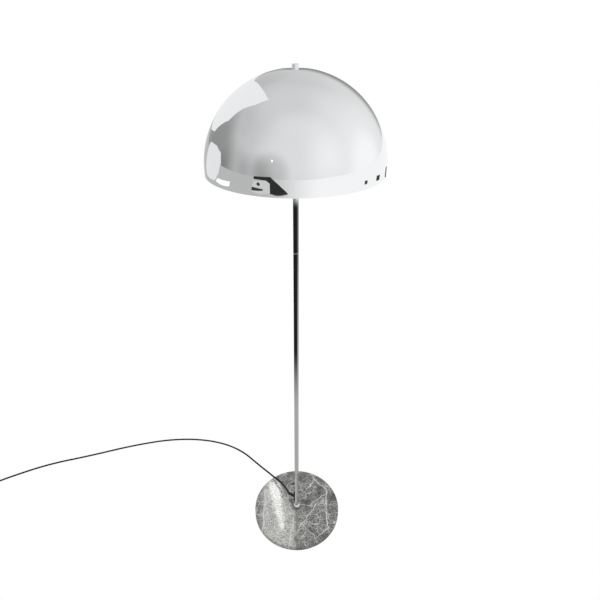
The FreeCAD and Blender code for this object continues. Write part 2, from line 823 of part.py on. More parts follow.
def cord_tie():
    reach = 2 * cord_diameter + 1.2
    tall = cord_diameter + 2 * tie_wall + 0.1
    band = Part.makeBox(reach + 2 * tie_wall, tie_width, tall,
                        Vector(coil_middle_radius - reach / 2 - tie_wall, -tie_width / 2, 0))
    hole = Part.makeBox(reach, tie_width + 2, tall - 2 * tie_wall,
                        Vector(coil_middle_radius - reach / 2, -tie_width / 2 - 1, tie_wall))
    tie = band.cut(hole)
    tie.rotate(Vector(0, 0, 0), Vector(0, 0, 1), coil_tie_angle)
    tie.translate(Vector(coil_centre[0], coil_centre[1], 0))
    return tie


def main():
    os.makedirs("parts", exist_ok=True)
    pieces = {
        "foot_pads": foot_pads(), "marble_base": [marble_base()], "base_washer": [base_washer()],
        "base_bolt": [base_bolt()], "foot_gasket": [foot_gasket()], "foot_collar": [foot_collar()],
        "foot_insert": [foot_insert()], "lower_tube": [lower_tube()], "upper_tube": [upper_tube()],
        "stem_joiner": [stem_joiner()], "cord_grommet": [cord_grommet()], "strain_relief": [strain_relief()],
        "inner_lead": [inner_lead()], "stem_insert": [stem_insert()], "stem_nipple": [stem_nipple()],
        "nipple_nut": [nipple_nut()], "hub_cup": [hub_cup()], "hub_cover": [hub_cover()],
        "cover_screws": cover_screws(), "terminal_block": [terminal_block()], "dome_rod": [dome_rod()],
        "rod_nuts": rod_nuts(), "seat_nut": [seat_nut()], "seat_disc": [seat_disc()],
        "seat_washer": [seat_washer()], "dome_shade": [dome_shade()], "top_washer": [top_washer()],
        "top_knob": [top_knob()],
    }
    nipples = []
    for side, word in ((-1, "left"), (1, "right")):
        for make in (holder_cap, holder_skirt, holder_insert, holder_sleeve, holder_contact, bulb_cap,
                     bulb_glass, arm_nipple):
            pieces[f"{make.__name__}_{word}"] = [laid_out(make(), side)]
        nipples += [laid_out(shape, side) for shape in arm_nuts()]
    pieces["arm_nuts"] = nipples
    for name, solids in (("switch_base", [switch_base()]), ("switch_cover", [switch_cover()]),
                         ("switch_button", [switch_button()]), ("contact_block", [contact_block()]),
                         ("switch_spring", [switch_spring()]), ("switch_screws", switch_screws())):
        pieces[name] = [on_floor(s, switch_centre, switch_heading) for s in solids]
    for name, solids in (("plug_body", [plug_body()]), ("plug_pins", plug_pins()),
                         ("earth_clips", earth_clips())):
        pieces[name] = [on_floor(lying(s), plug_entry, plug_heading) for s in solids]
    total = 0.0
    routes = {"cord_run": route_run(), "cord_middle": route_middle(), "cord_end": route_end()}
    for name, route in routes.items():
        solid, length = cord_piece(name, route)
        pieces[name] = [solid]
        total += length
    pieces["cord_coil"] = [cord_coil()]
    pieces["cord_tie"] = [cord_tie()]
    print(f"cord outside the coil and the switch: {total:.0f}")
    for name, solids in pieces.items():
        write(name, solids)
    print(f"{len(pieces)} nodes")


main()
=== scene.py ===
# %% [markdown]
# # A chrome dome floor lamp
# The real lamp is a round slab of grey marble, a thin chromed tube standing in its middle, and a
# spun steel dome, chromed like a mirror, that hangs over two bulbs from a threaded rod. The sizes
# were settled in CAD, so this lesson loads that model as a fixed frame and gives it its looks.
# %% Load the measured lamp
import json
import math

import bmesh
import bpy
from mathutils import Matrix, Vector


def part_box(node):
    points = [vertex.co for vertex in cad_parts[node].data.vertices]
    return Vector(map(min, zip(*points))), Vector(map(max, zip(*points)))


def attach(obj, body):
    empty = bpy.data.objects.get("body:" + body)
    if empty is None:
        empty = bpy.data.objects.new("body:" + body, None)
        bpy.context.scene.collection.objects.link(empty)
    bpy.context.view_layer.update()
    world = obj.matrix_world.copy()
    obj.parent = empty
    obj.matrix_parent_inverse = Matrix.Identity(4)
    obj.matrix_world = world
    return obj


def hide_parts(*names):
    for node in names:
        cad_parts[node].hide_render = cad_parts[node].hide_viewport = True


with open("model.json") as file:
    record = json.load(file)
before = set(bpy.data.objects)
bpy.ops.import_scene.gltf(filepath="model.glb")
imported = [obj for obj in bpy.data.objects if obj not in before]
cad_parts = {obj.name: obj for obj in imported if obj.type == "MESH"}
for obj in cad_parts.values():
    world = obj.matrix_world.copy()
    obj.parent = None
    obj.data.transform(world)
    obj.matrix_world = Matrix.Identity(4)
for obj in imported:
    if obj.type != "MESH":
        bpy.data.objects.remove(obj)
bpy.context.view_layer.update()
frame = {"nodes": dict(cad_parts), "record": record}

# %% [markdown]
# ## The camera
# A person stands about a metre in front of the lamp and looks down at it a little, so the dome is
# seen from just above and the base from well above. A wide lens keeps both in the picture. The
# camera could be aimed with a constraint; it is turned by its own angles, which can be read off.
# %% Stand the camera
mm = 0.001
eye_height = 1.558
eye_distance = 1.065
look_down = math.radians(29.26)
lean = math.radians(-0.18)

camera = bpy.data.objects.new("camera", bpy.data.cameras.new("camera"))
bpy.context.scene.collection.objects.link(camera)
camera.matrix_world = (Matrix.Translation((0, -eye_distance, eye_height))
                       @ Matrix.Rotation(math.pi / 2 - look_down, 4, "X")
                       @ Matrix.Rotation(lean, 4, "Z"))
camera.data.lens = 26.95
camera.data.shift_x = 0.0066
camera.data.shift_y = -0.0217
camera.data.clip_start = 0.02
bpy.context.scene.camera = camera
print("the camera stands", eye_distance, "m away at", eye_height, "m")

# %% [markdown]
# ## The mains cord
# A round black PVC cord leaves the stem near its foot, droops to the floor and wanders off in one
# loose curve to a foot switch, a small tied coil and its plug. A simulation could drop it, but a
# smooth NURBS line through a few chosen points keeps its length and its place exactly. The points
# are its route in plan, in millimetres, with the height of its underside over the floor.
# %% Choose the cord's route
cord_diameter = 6.5 * mm
cord_radius = cord_diameter / 2
exit_angle = math.radians(152)
exit_height = 75
exit_direction = Vector((math.cos(exit_angle), math.sin(exit_angle), 0))
exit_lift = exit_height - cord_radius / mm
cord_start = exit_direction * 5.5
cord_second = exit_direction * 30
cord_route = [
    (cord_start.x, cord_start.y, exit_lift), (cord_second.x, cord_second.y, exit_lift),
    (-38, 35, 67), (-47, 58, 57.5), (-60, 80, 47), (-75, 101, 38), (-91, 119, 31),
    (-108, 139, 25.5), (-128, 165, 14), (-151, 192, 5), (-179, 222, 0),
    (-222, 262, 0), (-281, 298, 0), (-352, 323, 0), (-430, 336, 0), (-512, 338, 0),
    (-595, 329, 0), (-677, 311, 0), (-757, 289, 0), (-836, 263, 0), (-916, 239, 0),
    (-997, 217, 0), (-1073, 188, 0), (-1140, 155, 0), (-1188, 128, 1.5),
]
switch_centre = Vector((-1245, 50, 0))
switch_heading = Vector((math.cos(math.radians(240)), math.sin(math.radians(240)), 0))
for along in (-64, -28, 28, 58):
    x, y, _ = switch_centre + switch_heading * along
    cord_route.append((x, y, 5.75))
cord_route.append((-1283, -26.5, 1))
print(len(cord_route), "points to the coil")

# %% [markdown]
# ## The coil and the plug's end
# What is left of the cord is wound up in two flat turns that lie side by side, a cord's width
# apart, so the radius shrinks by one diameter a turn. A loop places sixteen points on each turn.
# A spline cuts inside its points, so they stand a little further out than the cord does.
# %% Wind the coil
coil_centre = Vector((-1242, -40, 0))
points_per_turn = 16
coil_first, coil_last = 196, 880
outer_turn = 39.25
cut_inside = math.cos(math.pi / points_per_turn)


def on_coil(degrees, radius, lift):
    angle = math.radians(degrees)
    place = coil_centre + Vector((math.cos(angle), math.sin(angle), 0)) * radius / cut_inside
    return place.x, place.y, lift


steps = round((coil_last - coil_first) * points_per_turn / 360)
for k in range(steps + 1):
    turned_by = k * (coil_last - coil_first) / steps
    cord_route.append(on_coil(coil_first + turned_by, outer_turn - 6.5 * turned_by / 360, 1))
cord_route += [on_coil(900, 26.5, 3), on_coil(922, 27.5, 6), on_coil(944, 30, 8.6), on_coil(972, 36, 9.6)]
plug_entry = Vector((-1186, -101, 0))
plug_heading = Vector((math.cos(math.radians(340)), math.sin(math.radians(340)), 0))
for along, lift in ((-24, 15.75), (-6, 15.75), (16, 15.75)):
    x, y, _ = plug_entry + plug_heading * along
    cord_route.append((x, y, lift))

flex_curve = bpy.data.curves.new("mains_flex", "CURVE")
flex_curve.dimensions = "3D"
line = flex_curve.splines.new("NURBS")
line.points.add(len(cord_route) - 1)
for point, (x, y, lift) in zip(line.points, cord_route):
    point.co = (x * mm, y * mm, lift * mm + cord_radius, 1)
line.order_u = 3
line.use_endpoint_u = True
line.resolution_u = 12
flex_curve.bevel_depth = cord_radius
flex_curve.bevel_resolution = 5
flex_curve.use_fill_caps = True
mains_flex = bpy.data.objects.new("mains_flex", flex_curve)
bpy.context.scene.collection.objects.link(mains_flex)
print(len(cord_route), "points in all,", steps, "of them on the coil")

# %% [markdown]
# ## Small helpers
# Colours are written as sRGB hex, as a paint card would give them, and turned to linear light
# once. One function adds any node, with its settings and its links, to any tree, and another
# starts a material: a Principled shader that is linked to the output. Two settings come back
# often, so they have names: a Map Range with soft ends, and a Mix node that mixes colours.
# %% Colours, nodes and materials


def linear(hex_colour):
    channels = [int(hex_colour[k:k + 2], 16) / 255 for k in (1, 3, 5)]
    return [c / 12.92 if c < 0.04045 else ((c + 0.055) / 1.055) ** 2.4 for c in channels] + [1]


def add(tree, kind, inputs=None, **settings):
    """Adds a node with its settings, and links or sets its inputs, which are named or numbered."""
    node = tree.nodes.new(kind)
    for name, value in settings.items():
        setattr(node, name, value)
    for name, value in (inputs or {}).items():
        if isinstance(value, bpy.types.NodeSocket):
            tree.links.new(value, node.inputs[name])
        else:
            node.inputs[name].default_value = value
    return node


def start_material(name, **values):
    """A material, its tree, its shader, and the piece's own coordinates in metres."""
    material = bpy.data.materials.new(name)
    material.use_nodes = True
    tree = material.node_tree
    tree.nodes.clear()
    shader = add(tree, "ShaderNodeBsdfPrincipled",
                 {key.replace("_", " "): value for key, value in values.items()})
    add(tree, "ShaderNodeOutputMaterial", {"Surface": shader.outputs[0]})
    place = add(tree, "ShaderNodeTexCoord").outputs["Object"]
    return material, tree, shader, place


smooth = {"interpolation_type": "SMOOTHSTEP"}
colours = {"data_type": "RGBA"}
print("helpers are ready")

# %% [markdown]
# ## Floor
# The lamp stands on a pale floor. The camera sees it as even white that takes no shadow. The
# polished metal also sees it, much more steeply, as a glowing pattern of painted light: pale close
# to the lamp, darker further off in front and to the left, a painted lit side to the right, and
# bright again in the distance. One floor does both, because a Light Path node tells which rays come
# from a mirror. From below it is clear, so that the underside of the lamp can be seen.
# %% Lay the floor
floor_mesh = bpy.data.meshes.new("floor")
reach = 40
floor_mesh.from_pydata([(-reach, -reach, 0), (reach, -reach, 0), (reach, reach, 0), (-reach, reach, 0)],
                       [], [(0, 1, 2, 3)])
floor = bpy.data.objects.new("floor", floor_mesh)
bpy.context.scene.collection.objects.link(floor)

floor_material = bpy.data.materials.new("pale_studio_floor")
floor_material.use_nodes = True
tree = floor_material.node_tree
tree.nodes.clear()
place = add(tree, "ShaderNodeTexCoord").outputs["Object"]
distance_out = add(tree, "ShaderNodeVectorMath", {0: place}, operation="LENGTH").outputs["Value"]
sides = add(tree, "ShaderNodeSeparateXYZ", {0: place}).outputs
side_on = add(tree, "ShaderNodeMath", {0: sides["X"], 1: distance_out}, operation="DIVIDE").outputs[0]
zones = {}
# Each zone is a brightness of painted light that only mirror rays see: it fades with distance, stays brighter
# to the right, and brightens again far off.
for zone, value, low, high, to_low, to_high in (
        ("fading off", distance_out, 0.52, 1.0, 0.40, 0.014), ("to the right", side_on, 0.72, 0.98, 0, 1),
        ("lit side", distance_out, 0.6, 2.6, 0.42, 0.14), ("beyond", distance_out, 3.4, 3.9, 0, 1),
        ("far", side_on, -0.75, 0.55, 0.50, 0.97)):
    zones[zone] = add(tree, "ShaderNodeMapRange", {"Value": value, "From Min": low, "From Max": high,
                                                   "To Min": to_low, "To Max": to_high}, **smooth).outputs[0]
near = add(tree, "ShaderNodeMix",
           {0: zones["to the right"], 2: zones["fading off"], 3: zones["lit side"]}).outputs[0]
seen_in_metal = add(tree, "ShaderNodeMix", {0: zones["beyond"], 2: near, 3: zones["far"]}).outputs[0]
mirrored = add(tree, "ShaderNodeEmission", {"Strength": seen_in_metal})
plain = add(tree, "ShaderNodeBsdfDiffuse", {"Color": linear("#909090")})
rays = add(tree, "ShaderNodeLightPath").outputs
unseen = add(tree, "ShaderNodeMixShader",
             {0: rays["Is Glossy Ray"], 1: plain.outputs[0], 2: mirrored.outputs[0]})
white = add(tree, "ShaderNodeEmission", {"Color": linear("#FFFFFF"), "Strength": 1.0})
from_above = add(tree, "ShaderNodeMixShader",
                 {0: rays["Is Camera Ray"], 1: unseen.outputs[0], 2: white.outputs[0]})
under = add(tree, "ShaderNodeNewGeometry").outputs["Backfacing"]
clear = add(tree, "ShaderNodeBsdfTransparent")
surface = add(tree, "ShaderNodeMixShader", {0: under, 1: from_above.outputs[0], 2: clear.outputs[0]})
add(tree, "ShaderNodeOutputMaterial", {"Surface": surface.outputs[0]})
floor_mesh.materials.append(floor_material)
print("the floor reaches", reach, "m each way")

# %% [markdown]
# ## Light from all round
# A mirror finish shows its surroundings, so the light is built as a room: soft grey all round,
# to which twelve soft patches add or take light by direction, brightest on the right and darkest
# on the left. Only mirror rays see them; the camera and all other rays see one even white. The
# strengths suit the view from the front, so the chrome looks less natural from other sides.
# %% Light the room
world = bpy.data.worlds.new("soft_studio")
bpy.context.scene.world = world
world.use_nodes = True
tree = world.node_tree
tree.nodes.clear()
outward = add(tree, "ShaderNodeTexCoord").outputs["Generated"]


def direction(azimuth, elevation):
    """Azimuth runs from +Y, away from the camera, round to +X on its right; both in degrees."""
    turn, rise = math.radians(azimuth), math.radians(elevation)
    return Vector((math.sin(turn) * math.cos(rise), math.cos(turn) * math.cos(rise), math.sin(rise)))


def glow(total, azimuth, elevation, inner, outer, strength):
    """Adds a soft round glow, or a shade if negative: full inside inner, nothing outside outer."""
    facing = add(tree, "ShaderNodeVectorMath", {0: outward, 1: direction(azimuth, elevation)},
                 operation="DOT_PRODUCT").outputs["Value"]
    share = add(tree, "ShaderNodeMapRange", {
        "Value": facing, "From Min": math.cos(math.radians(outer)), "From Max": math.cos(math.radians(inner)),
        "To Min": 0, "To Max": strength}, **smooth).outputs[0]
    return add(tree, "ShaderNodeMath", {0: total, 1: share}, operation="ADD").outputs[0]


light = 0.59
for azimuth, elevation, inner, outer, strength in (
        (90, 0, 10, 90, 0.30), (85, 3, 3, 32, 0.10), (178, 27, 10, 60, 0.17), (-150, 5, 2, 28, -0.20),
        (-130, 0, 2, 28, -0.09), (-100, 0, 2, 30, -0.13), (-60, 0, 5, 45, -0.30), (-80, 36, 3, 26, -0.05),
        (0, 90, 5, 45, 0.07), (8, 33, 4, 24, 0.04), (-22, 31, 3, 22, -0.06), (12, 0, 6, 27, -0.35)):
    light = glow(light, azimuth, elevation, inner, outer, strength)
paths = add(tree, "ShaderNodeLightPath").outputs
soft = add(tree, "ShaderNodeBackground", {"Color": linear("#FFFFFF"), "Strength": light})
even = add(tree, "ShaderNodeBackground", {"Color": linear("#FFFFFF"), "Strength": 1.08})
mirror_rays = add(tree, "ShaderNodeMixShader",
                  {0: paths["Is Glossy Ray"], 1: even.outputs[0], 2: soft.outputs[0]})
add(tree, "ShaderNodeOutputWorld", {"Surface": mirror_rays.outputs[0]})
bpy.context.scene.view_settings.view_transform = "Standard"
print("twelve glows round the lamp")

# %% [markdown]
# ## Windows and panels
# Crisp shapes in a mirror are bright windows and dark furniture. Each is a flat panel a few
# metres off, laid out by the directions of its corners from the middle of the dome. One window
# stands nearer and is laid out from the top of the base, which mirrors it. The panels show in
# polished surfaces only: the camera doesn't see them, and they cast no shadow.
# %% Hang the panels
dome_low, dome_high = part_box("dome_shade")
dome_middle = Vector((0, 0, (dome_low.z + dome_high.z) / 2))


def panel(name, strength, corners, distance=6.0, seen_from=dome_middle):
    mesh = bpy.data.meshes.new(name)
    places = [seen_from + direction(azimuth, elevation) * distance for azimuth, elevation in corners]
    mesh.from_pydata(places, [], [tuple(range(len(places)))])
    material = bpy.data.materials.new(name)
    material.use_nodes = True
    tree = material.node_tree
    tree.nodes.clear()
    shine = add(tree, "ShaderNodeEmission", {"Strength": strength})
    add(tree, "ShaderNodeOutputMaterial", {"Surface": shine.outputs[0]})
    mesh.materials.append(material)
    board = bpy.data.objects.new(name, mesh)
    bpy.context.scene.collection.objects.link(board)
    board.visible_camera = False
    board.visible_shadow = False
    board.visible_diffuse = False


panel("tall_window", 0.88, [(-2, -6), (-8, 6), (-18, 21.5), (-36, 48), (-64, 65), (-68, 53), (-63, 40),
                           (-62, 26), (-47, 7.5), (-33, 1)])
panel("side_window", 0.82, [(-47, 1), (-51, 3), (-66, 7), (-78, 6), (-81, -1), (-76, -10), (-66, -16),
                            (-40, -15.5), (-40, -12)], distance=4.6)
panel("low_window", 1.1, [(-73, -13.7), (-97, -12.9), (-94, -16.9), (-68, -16.3)], distance=4.4)
panel("doorway", 0.03, [(-131, -2), (-151, -0.5), (-160, -8), (-171, -18), (-150, -18), (-150.5, -8.2),
                        (-146, -5), (-131, -5)], distance=4.2)
panel("cupboard", 0.62, [(-130.6, -6.9), (-147, -5), (-150.6, -8.2), (-149.7, -17.8), (-126.5, -17.6)],
      distance=4.3)
panel("clock", 0.05, [(-134.5, -9), (-136.5, -7.8), (-138.5, -9), (-138.5, -11), (-136.5, -12),
                      (-134.5, -11)], distance=4.1)
panel("shelf", 0.04, [(-128, -13.5), (-142, -15), (-141, -16.6), (-127, -17)], distance=4.1)
panel("ceiling_lamp", 4.0, [(-150.8, 16.8), (-152.4, 16.8), (-152.4, 18.4), (-150.8, 18.4)])
for azimuth, width in ((88, 5), (62, 9), (32, 8)):
    panel("chair", 0.05, [(azimuth - width / 2, -14), (azimuth + width / 2, -13.5),
                          (azimuth + width / 2, -16.5), (azimuth - width / 2, -16.5)], distance=4.2)
base_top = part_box("marble_base")[1].z
panel("back_window", 8.5, [(-7.1, 49.4), (-6.6, 52.5), (-4.8, 56.6), (-2.9, 60.7), (-1.1, 60.7), (-1.5, 57.3),
                           (-2.1, 53.9), (-2.8, 49.6)],
      distance=1.5, seen_from=Vector((-0.07, 0, base_top)))
print("panels hung round the lamp")

# %% [markdown]
# ## Chrome plate
# Chromium over polished steel: a blue-white mirror. Hand polishing leaves a haze in soft patches
# and a hairline grain, so the roughness drifts a little and a very low relief breaks the edges
# of reflections. Its roughness is 0.012 to 0.03 on the stem and dome, 0.03 to 0.08 on turned parts.
# %% Chrome


def chrome(name, haze=0.012, grain=0.0000015):
    material, tree, shader, place = start_material(name, Base_Color=linear("#F6F7F8"), Metallic=1.0)
    patches = add(tree, "ShaderNodeTexNoise",
                  {"Vector": place, "Scale": 1 / (45 * mm), "Detail": 2}).outputs[0]
    drift = add(tree, "ShaderNodeMapRange", {"Value": patches, "From Min": 0.35, "From Max": 0.7,
                                             "To Min": haze, "To Max": haze * 2.6}).outputs[0]
    hairlines = add(tree, "ShaderNodeTexNoise",
                    {"Vector": place, "Scale": 1 / (2.5 * mm), "Detail": 2}).outputs[0]
    raised = add(tree, "ShaderNodeBump", {"Height": hairlines, "Distance": grain, "Strength": 1}).outputs[0]
    tree.links.new(drift, shader.inputs["Roughness"])
    tree.links.new(raised, shader.inputs["Normal"])
    return material


chrome_plate = chrome("chrome_plate")
turned_chrome = chrome("turned_chrome", haze=0.03)
print(chrome_plate.name, "and", turned_chrome.name)

# %% [markdown]
# ## Grey marble
# Marble is limestone pressed and baked until it recrystallised; the white veins are cracks that
# filled with calcite. The slab is mottled mid grey, with a fine white net, a few long veins and
# a paler cloudy zone on the left. Clouds bend the coordinates, Voronoi cell edges make the net,
# and single bent lines make the long veins. A wax polish gives it a coat of gloss.
# %% Marble
marble, tree, shader, place = start_material("polished_grey_marble", Roughness=0.16, IOR=1.5,
                                             Coat_Weight=0.35, Coat_Roughness=0.05)
wander = add(tree, "ShaderNodeTexNoise", {"Vector": place, "Scale": 1 / (38 * mm), "Detail": 4}).outputs[1]
shift = add(tree, "ShaderNodeVectorMath", {0: wander, 1: (0.5, 0.5, 0.5)}, operation="SUBTRACT").outputs[0]
small_shift = add(tree, "ShaderNodeVectorMath", {0: shift, "Scale": 0.030}, operation="SCALE").outputs[0]
bent = add(tree, "ShaderNodeVectorMath", {0: place, 1: small_shift}, operation="ADD").outputs[0]

clouds = add(tree, "ShaderNodeTexNoise", {"Vector": bent, "Scale": 1 / (30 * mm), "Detail": 8,
                                          "Roughness": 0.66}).outputs[0]
specks = add(tree, "ShaderNodeTexNoise", {"Vector": bent, "Scale": 1 / (5 * mm), "Detail": 5,
                                          "Roughness": 0.7}).outputs[0]
cloud_share = add(tree, "ShaderNodeMapRange",
                  {"Value": clouds, "From Min": 0.34, "From Max": 0.66}).outputs[0]
ground = add(tree, "ShaderNodeMix", {0: cloud_share, 6: linear("#363635"), 7: linear("#767674")},
             **colours).outputs[2]
speck_share = add(tree, "ShaderNodeMapRange", {"Value": specks, "From Min": 0.50, "From Max": 0.72,
                                               "To Max": 0.7}).outputs[0]
speckled = add(tree, "ShaderNodeMix", {0: speck_share, 6: ground, 7: linear("#B4B4B0")}, **colours).outputs[2]

cells = {}
for size in (34, 13):
    edges = add(tree, "ShaderNodeTexVoronoi", {"Vector": bent, "Scale": 1 / (size * mm)},
                feature="DISTANCE_TO_EDGE").outputs["Distance"]
    cells[size] = edges
wide_net = add(tree, "ShaderNodeMapRange", {"Value": cells[34], "From Min": 0.0, "From Max": 0.035,
                                            "To Min": 1, "To Max": 0}).outputs[0]
fine_net = add(tree, "ShaderNodeMapRange", {"Value": cells[13], "From Min": 0.0, "From Max": 0.06,
                                            "To Min": 0.8, "To Max": 0}).outputs[0]
wide_clouds = add(tree, "ShaderNodeTexNoise",
                  {"Vector": place, "Scale": 1 / (60 * mm), "Detail": 2}).outputs[0]
patchy = add(tree, "ShaderNodeMapRange", {"Value": wide_clouds, "From Min": 0.42, "From Max": 0.60},
             **smooth).outputs[0]
net = add(tree, "ShaderNodeMath", {0: wide_net, 1: fine_net}, operation="MAXIMUM").outputs[0]
net_share = add(tree, "ShaderNodeMath", {0: net, 1: patchy}, operation="MULTIPLY").outputs[0]
netted = add(tree, "ShaderNodeMix", {0: net_share, 6: speckled, 7: linear("#C6C6C2")}, **colours).outputs[2]
print("marble ground and net are laid")

# %% [markdown]
# The long veins are straight cracks that wander a little. Each is the zero line of one bent
# coordinate: an offset and an angle turn the slab under it, and two limits end it.
# %% Long veins


def vein(colour, x, y, degrees, half_length, width):
    """A white crack through (x, y) mm, at that angle, fading out half_length mm to each side."""
    turn = add(tree, "ShaderNodeMapping", {"Vector": bent, "Location": (x * mm, y * mm, 0),
                                           "Rotation": (0, 0, math.radians(degrees))},
               vector_type="TEXTURE").outputs[0]
    along, across, _ = add(tree, "ShaderNodeSeparateXYZ", {0: turn}).outputs
    off = add(tree, "ShaderNodeMath", {0: across}, operation="ABSOLUTE").outputs[0]
    gone = add(tree, "ShaderNodeMath", {0: along}, operation="ABSOLUTE").outputs[0]
    line_share = add(tree, "ShaderNodeMapRange", {
        "Value": off, "From Min": width * 0.3 * mm, "From Max": width * mm,
        "To Min": 0.85, "To Max": 0}, **smooth).outputs[0]
    end_share = add(tree, "ShaderNodeMapRange", {
        "Value": gone, "From Min": half_length * 0.75 * mm, "From Max": half_length * mm,
        "To Min": 1, "To Max": 0}, **smooth).outputs[0]
    share = add(tree, "ShaderNodeMath", {0: line_share, 1: end_share}, operation="MULTIPLY").outputs[0]
    return add(tree, "ShaderNodeMix", {0: share, 6: colour, 7: linear("#DEDEDA")}, **colours).outputs[2]


veined = netted
for x, y, degrees, half_length, width in (
        (112, -8, 91, 88, 2.4), (44, -38, 53, 66, 1.6), (82, 30, 40, 52, 2.0), (88, 96, 128, 40, 2.2),
        (58, 92, 52, 34, 1.4), (36, 3, -8, 30, 1.3), (46, -98, -50, 38, 1.2), (90, -104, 32, 34, 1.2),
        (-122, -20, 88, 92, 2.6), (-20, -100, 84, 52, 2.2)):
    veined = vein(veined, x, y, degrees, half_length, width)
# A lighter zone on the left of the slab is laid into the stone's colour: straight edges at the back and on
# the right, a soft edge near the rim, and cloudy inside.
sides = add(tree, "ShaderNodeSeparateXYZ", {0: bent}).outputs
slant = add(tree, "ShaderNodeMath", {0: sides["Y"], 1: 0.49, 2: sides["X"]},
            operation="MULTIPLY_ADD").outputs[0]
back_edge, right_edge, left_edge = (
    add(tree, "ShaderNodeMapRange", {"Value": value, "From Min": low, "From Max": high,
                                     "To Min": to_low, "To Max": to_high}, **smooth).outputs[0]
    for value, low, high, to_low, to_high in (
        (slant, -0.030, -0.012, 1, 0), (sides["X"], -0.014, 0.002, 1, 0), (sides["X"], -0.142, -0.112, 0, 1)))
inner_edge = add(tree, "ShaderNodeMath", {0: back_edge, 1: right_edge}, operation="MINIMUM").outputs[0]
lighter = add(tree, "ShaderNodeMath", {0: inner_edge, 1: left_edge}, operation="MULTIPLY").outputs[0]
lighter_clouds = add(tree, "ShaderNodeMapRange", {"Value": specks, "From Min": 0.38, "From Max": 0.58,
                                               "To Min": 0.12, "To Max": 0.92}).outputs[0]
lighter_share = add(tree, "ShaderNodeMath", {0: lighter, 1: lighter_clouds}, operation="MULTIPLY").outputs[0]
lightened = add(tree, "ShaderNodeMix", {0: lighter_share, 6: veined, 7: linear("#CDCDC9")}, **colours).outputs[2]
gloss = add(tree, "ShaderNodeMapRange", {"Value": clouds, "From Min": 0.3, "From Max": 0.7,
                                         "To Min": 0.05, "To Max": 0.10}).outputs[0]
raised = add(tree, "ShaderNodeBump", {"Height": specks, "Distance": 0.0000006, "Strength": 1}).outputs[0]
for socket, result in (("Base Color", lightened), ("Roughness", gloss), ("Normal", raised)):
    tree.links.new(result, shader.inputs[socket])
print("ten long veins and one milky zone")

# %% [markdown]
# ## The other finishes
# Small parts share a few shop finishes: bright zinc on nuts and bolts, nickel on screw caps,
# brass, black moulded plastic and rubber, soft PVC on the cord, ceramic, nylon, felted tape and
# opal glass. Each gets its colour, a drift in roughness and a relief at its real grain size.
# %% Metals and plastics


def plain_finish(name, colour, other, grain, roughness, depth, metal=0.0, **values):
    """Two close shades in clouds of the grain's size, with a roughness range and a relief."""
    material, tree, shader, place = start_material(name, Metallic=metal, **values)
    lumps = add(tree, "ShaderNodeTexNoise", {"Vector": place, "Scale": 1 / grain, "Detail": 4}).outputs[0]
    share = add(tree, "ShaderNodeMapRange", {"Value": lumps, "From Min": 0.3, "From Max": 0.7}).outputs[0]
    shade = add(tree, "ShaderNodeMix", {0: share, 6: linear(colour), 7: linear(other)}, **colours).outputs[2]
    drift = add(tree, "ShaderNodeMapRange", {"Value": lumps, "From Min": 0.3, "From Max": 0.7,
                                             "To Min": roughness[0], "To Max": roughness[1]}).outputs[0]
    raised = add(tree, "ShaderNodeBump", {"Height": lumps, "Distance": depth, "Strength": 1}).outputs[0]
    for socket, result in (("Base Color", shade), ("Roughness", drift), ("Normal", raised)):
        tree.links.new(result, shader.inputs[socket])
    return material


finishes = {
    # Zinc plate: a cool grey metal with a fine satin spangle.
    "zinc_steel": plain_finish("bright_zinc_steel", "#B9BCBE", "#A6A9AC", 3 * mm, (0.24, 0.42), 0.00001, 1.0),
    # Nickel-plated brass, rolled into a thread: warm and fairly shiny.
    "nickel_cap": plain_finish("nickel_screw_cap", "#C9C5BB", "#BDB8AC", 4 * mm, (0.14, 0.28), 0.000006, 1.0),
    "brass": plain_finish("pressed_brass", "#C9A45C", "#B58F4A", 4 * mm, (0.2, 0.34), 0.000008, 1.0),
    # Rubber and soft PVC: nearly black, matt, with a faint bloom.
    "black_rubber": plain_finish("black_rubber", "#151515", "#1E1E1D", 1.5 * mm, (0.55, 0.75), 0.00003),
    # Moulded thermoplastic and ABS: black, with the spark-eroded grain of the mould.
    "holder_plastic": plain_finish("moulded_black_plastic", "#121212", "#1A1A1A", 0.9 * mm, (0.3, 0.42),
                                   0.00001),
    "switch_plastic": plain_finish("moulded_black_abs", "#101010", "#171717", 0.9 * mm, (0.22, 0.36),
                                   0.000012),
    # Unglazed steatite ceramic: chalky and slightly warm.
    "white_ceramic": plain_finish("unglazed_ceramic", "#E7E2D6", "#D9D3C4", 2 * mm, (0.5, 0.7), 0.00002),
    "white_nylon": plain_finish("white_nylon", "#E6E5DE", "#DAD9D0", 3 * mm, (0.32, 0.45), 0.00001,
                                Subsurface_Weight=0.15, Subsurface_Radius=(0.002, 0.002, 0.002)),
    # Opal glass: white enamel fused inside clear glass, so it is smooth, glossy and glows softly.
    "opal_glass": plain_finish("opal_glass", "#F3F1EA", "#ECEAE2", 20 * mm, (0.05, 0.12), 0.000002,
                               Subsurface_Weight=0.35, Subsurface_Radius=(0.006, 0.005, 0.004),
                               Coat_Weight=0.5, Coat_Roughness=0.03),
}
print(len(finishes), "shop finishes")

